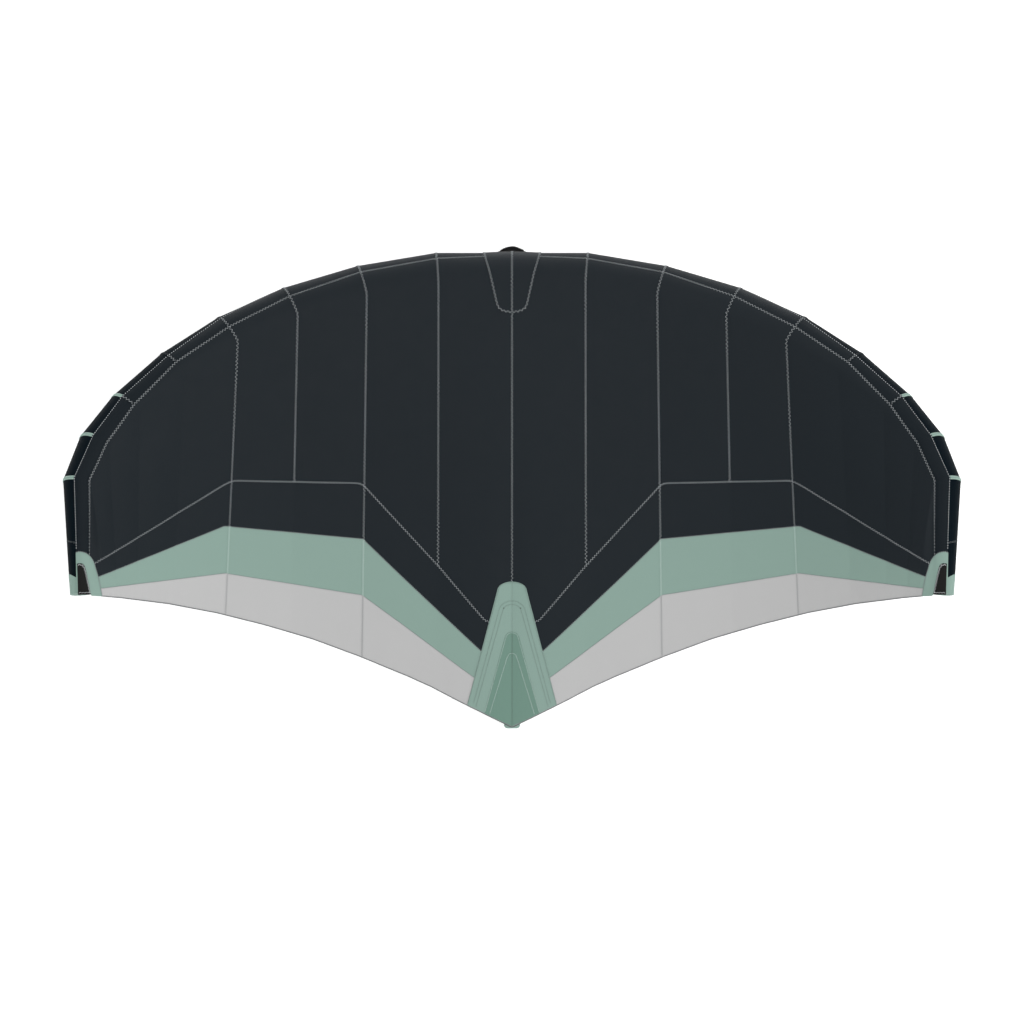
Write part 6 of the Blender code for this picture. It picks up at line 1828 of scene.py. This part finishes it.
# the hose leaves the middle of the leading edge and bends into the strut's left side
hose_y = 0.500
s_c = np.array([0.0, hose_y, float(strut_axis(hose_y))])
strut_hit = s_c + np.array([-1.0, 0, 0]) * float(strut_radius(hose_y))
h0, h3 = h_c + h_d * (LE_RADIUS[0] + 0.0016), strut_hit + np.array([-0.0016, 0, 0])
h1, h2 = h0 + h_d * 0.085, h3 + np.array([-0.085, 0, 0])


def hose_path(t):
    t = np.asarray(t, float)[:, None]
    C = h0 * (1 - t) ** 3 + h1 * 3 * t * (1 - t) ** 2 + h2 * 3 * t * t * (1 - t) + h3 * t ** 3
    D = unit(3 * (h1 - h0) * (1 - t) ** 2 + 6 * (h2 - h1) * t * (1 - t) + 3 * (h3 - h2) * t * t)
    ref, R = np.array([0.0, 0, 1.0]), []
    for d in D:
        ref = unit(ref - d * (ref @ d))
        R.append(ref)
    return C, D, np.array(R)


def hose_skin(name, t, rad, wall, mat, slot, sides=28, nodes=()):
    C, D, R = hose_path(t)
    S = np.cross(D, R)
    q = np.linspace(0, 2 * math.pi, sides + 1)[:-1]
    P = C[:, None, :] + (R[:, None, :] * np.cos(q)[None, :, None] + S[:, None, :] * np.sin(q)[None, :, None]) * np.asarray(rad)[:, None, None]
    return layer(name, P, [mat], thick=wall, inward=True, wrap=True, toward=lambda Q: Q - C[:, None, :], slot=slot, nodes=nodes, declare=False, sharp=50)


t = np.linspace(0.0, 1.0, 261)
C, _, _ = hose_path(t)
run = np.concatenate([[0], np.cumsum(np.linalg.norm(np.diff(C, axis=0), axis=1))])
ribs = np.clip((np.abs(t - 0.5) - 0.050) / 0.01, 0, 1) * np.clip((np.minimum(t, 1 - t) - 0.085) / 0.01, 0, 1)
rad = 0.0083 + ribs * (0.0005 * (0.5 + 0.5 * np.cos(run * 2 * math.pi / 0.0052)) ** 0.7)
hose_skin("inflation_hose", t, rad, 0.0028, RUBBER, "hose_rubber", nodes=("crossover_hose",))
HOSE_LENGTH = float(run[-1])
for m, flip in (("front", False), ("strut", True)):
    tt = np.array([0.0, 0.004, 0.008, 0.013, 0.020, 0.040, 0.060, 0.066, 0.070])
    rr = np.array([0.0124, 0.0125, 0.0125, 0.0121, 0.0112, 0.0108, 0.0105, 0.0100, 0.0092])
    hose_skin("hose_collar_" + m, 1 - tt[::-1] if flip else tt, rr[::-1] if flip else rr, 0.0022 if not flip else 0.0022, PLASTIC, "valve_plastic")
    tt = np.array([0.030, 0.0305, 0.034, 0.0415, 0.045, 0.0455])
    rr = np.array([0.0111, 0.0119, 0.0122, 0.0122, 0.0119, 0.0111])
    hose_skin("hose_band_" + m, 1 - tt[::-1] if flip else tt, rr, 0.0011, PLASTIC_GREY, "valve_grey")
q = np.linspace(0, 2 * math.pi, 61)[:-1]
rows = []
for i, r0 in enumerate((0.0082, 0.0100, 0.015, 0.021, 0.0265, 0.0280)):
    off = 0.0004 + (0.0002 if 0 < i < 5 else 0.0)
    y = hose_y + r0 * np.sin(q)
    rows.append(strut_point(y, 180 + np.degrees(r0 * np.cos(q) / strut_radius(y)), off))
layer("hose_patch_strut", np.array(rows), [NAVY], thick=0.0008, wrap=True, toward=(-1, 0, 0), slot="navy_casing", rests=["strut_sleeve"])
y = hose_y + 0.0245 * np.sin(np.linspace(0, 2 * math.pi, 80))
P = strut_point(y, 180 + np.degrees(0.0245 * np.cos(np.linspace(0, 2 * math.pi, 80)) / strut_radius(y)), 0.0013)
zigzag("dark_C", P, unit(from_strut(P)), both_sides=False, amp=0.0020, period=0.0068, r=0.0005)

# ------------------------------------------------------------------ zip on the strut
ZIP_DEG = -33.75
zy = np.linspace(-0.148, -0.332, 40)
for m, (d0, d1) in (("upper", (1.1, 11.25)), ("lower", (-11.25, -1.1))):
    dd = np.linspace(d0, d1, 6)
    press = edge_press(40, 6, 1.2)
    P = strut_point(zy[:, None], ZIP_DEG + dd[None, :], 0.0003 + 0.0002 * press)
    layer("zip_tape_" + m, P, [PAD], thick=0.0006, toward=from_strut, slot="zip_plastic", nodes=("strut_zip",), rests=["strut_sleeve"])
    P = strut_point(zy[1:-1], ZIP_DEG + (9.4 if m == "upper" else -9.4), 0.0011)
    running("dark_C", P, unit(from_strut(P)), both_sides=False, r=0.0005, pitch=0.0060, stitch=0.0042)
cy = np.arange(-0.1525, -0.3285, -0.0019)
for s0, s1 in ((-2.4, 0.35), (-0.35, 2.4)):
    yy = cy + (0.00095 if s0 < -1 else 0.0)
    A, B = strut_point(yy, ZIP_DEG + s0, 0.0015), strut_point(yy, ZIP_DEG + s1, 0.0015)
    sew("coil_C", A, B, unit(from_strut((A + B) / 2)), 0.00078)
for y0 in (-0.1495, -0.3305):
    A, B = strut_point(np.array([y0, y0 + 0.0013]), ZIP_DEG - 3.2, 0.0013), strut_point(np.array([y0, y0 + 0.0013]), ZIP_DEG + 3.2, 0.0013)
    sew("coil_C", A, B, unit(from_strut(A)), 0.0010)

# ------------------------------------------------------------------ light, floor and camera
WORLD_LEVEL, WORLD_TILT, KEY = 1.0, 0.65, 1675.0


def finish_scene():
    floor = bpy.data.meshes.new("floor")
    floor.from_pydata([(-60, -60, 0), (60, -60, 0), (60, 60, 0), (-60, 60, 0)], [], [(0, 1, 2, 3)])
    k = Nodes("floor")
    here = k.place()
    k.put(k.b.inputs["Base Color"], k.tint((0.95, 0.95, 0.95), k.total(0.995, k.math("MULTIPLY", k.noise(here, 3.0), 0.01))))
    k.b.inputs["Roughness"].default_value = 0.9
    k.b.inputs["Specular IOR Level"].default_value = 0.1
    k.b.inputs["Emission Color"].default_value = (1.0, 1.0, 1.0, 1)
    k.b.inputs["Emission Strength"].default_value = 0.47
    floor.materials.append(k.m)
    ob = bpy.data.objects.new("floor", floor)
    bpy.context.scene.collection.objects.link(ob)
    ob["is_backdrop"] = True

    # soft white room: a little brighter overhead to the right, plain white at and below the horizon
    world = bpy.data.worlds.new("studio")
    world.use_nodes = True
    t = world.node_tree
    bg = t.nodes["Background"]
    d, sep = t.nodes.new("ShaderNodeTexCoord"), t.nodes.new("ShaderNodeSeparateXYZ")
    t.links.new(d.outputs["Generated"], sep.inputs[0])

    def calc(op, x, y, clamp=False):
        n = t.nodes.new("ShaderNodeMath")
        n.operation, n.use_clamp = op, clamp
        for i, v in enumerate((x, y)):
            if isinstance(v, bpy.types.NodeSocket):
                t.links.new(v, n.inputs[i])
            else:
                n.inputs[i].default_value = v
        return n.outputs[0]
    up = calc("MAXIMUM", sep.outputs[2], 0.0)
    bg.inputs["Color"].default_value = (1.0, 1.0, 1.0, 1)
    t.links.new(calc("ADD", calc("MULTIPLY", calc("MULTIPLY", sep.outputs[0], up), WORLD_TILT), WORLD_LEVEL), bg.inputs["Strength"])
    bpy.context.scene.world = world

    def lamp(name, energy, place_at, aim, size):
        d = bpy.data.lights.new(name, "AREA")
        d.shape, d.size, d.energy = "DISK", size, energy
        o = bpy.data.objects.new(name, d)
        o.location = place_at
        o.rotation_mode = "QUATERNION"
        o.rotation_quaternion = (Vector(aim) - Vector(place_at)).to_track_quat("-Z", "Y")
        bpy.context.scene.collection.objects.link(o)
    lamp("key", KEY, (6.9, 6.0, 27.0), (0, 0, 0.1), 18.0)

    cam = bpy.data.cameras.new("camera")
    cam.type, cam.ortho_scale = "ORTHO", 3.8912
    cam.clip_start, cam.clip_end = 0.1, 100
    co = bpy.data.objects.new("camera", cam)
    co.location = (0.0, -0.0935, 6.0)
    bpy.context.scene.collection.objects.link(co)
    bpy.context.scene.camera = co
    bpy.context.scene.view_settings.view_transform = "Standard"
    bpy.context.scene.view_settings.look = "None"
    bpy.context.scene.view_settings.exposure = 0.0


for key, parts in THREADS.items():
    label, _, carrier = key.partition("@")
    mat = {"light": THREAD_LIGHT, "pale": THREAD_PALE, "fern": THREAD_FERN, "sage": THREAD_SAGE, "grey": THREAD_GREY, "dark": THREAD_DARK, "moss": THREAD_MOSS, "coil": ZIP}[label.split("_")[0]]
    thread_mesh("stitching_" + label + ("_" + carrier if carrier else ""), parts, mat, carrier or "wing")

for name, mat in (("le_bladder", FILM), ("strut_bladder", FILM), ("valve_base", PLASTIC), ("valve_insert", PLASTIC_GREY), ("valve_plunger", PLASTIC), ("valve_cap", PLASTIC),
                  ("hose_clamp", PLASTIC), ("hose_clamp_lever", PLASTIC), ("strut_zip_slider", ZIP)):
    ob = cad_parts[name]
    ob.data.materials.clear()
    ob.data.materials.append(mat)

finish_scene()
low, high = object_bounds()
for name, c in CUTS.items():
    print("CUT %s %.3f x %.3f m, %.4f m2" % (name, *c))
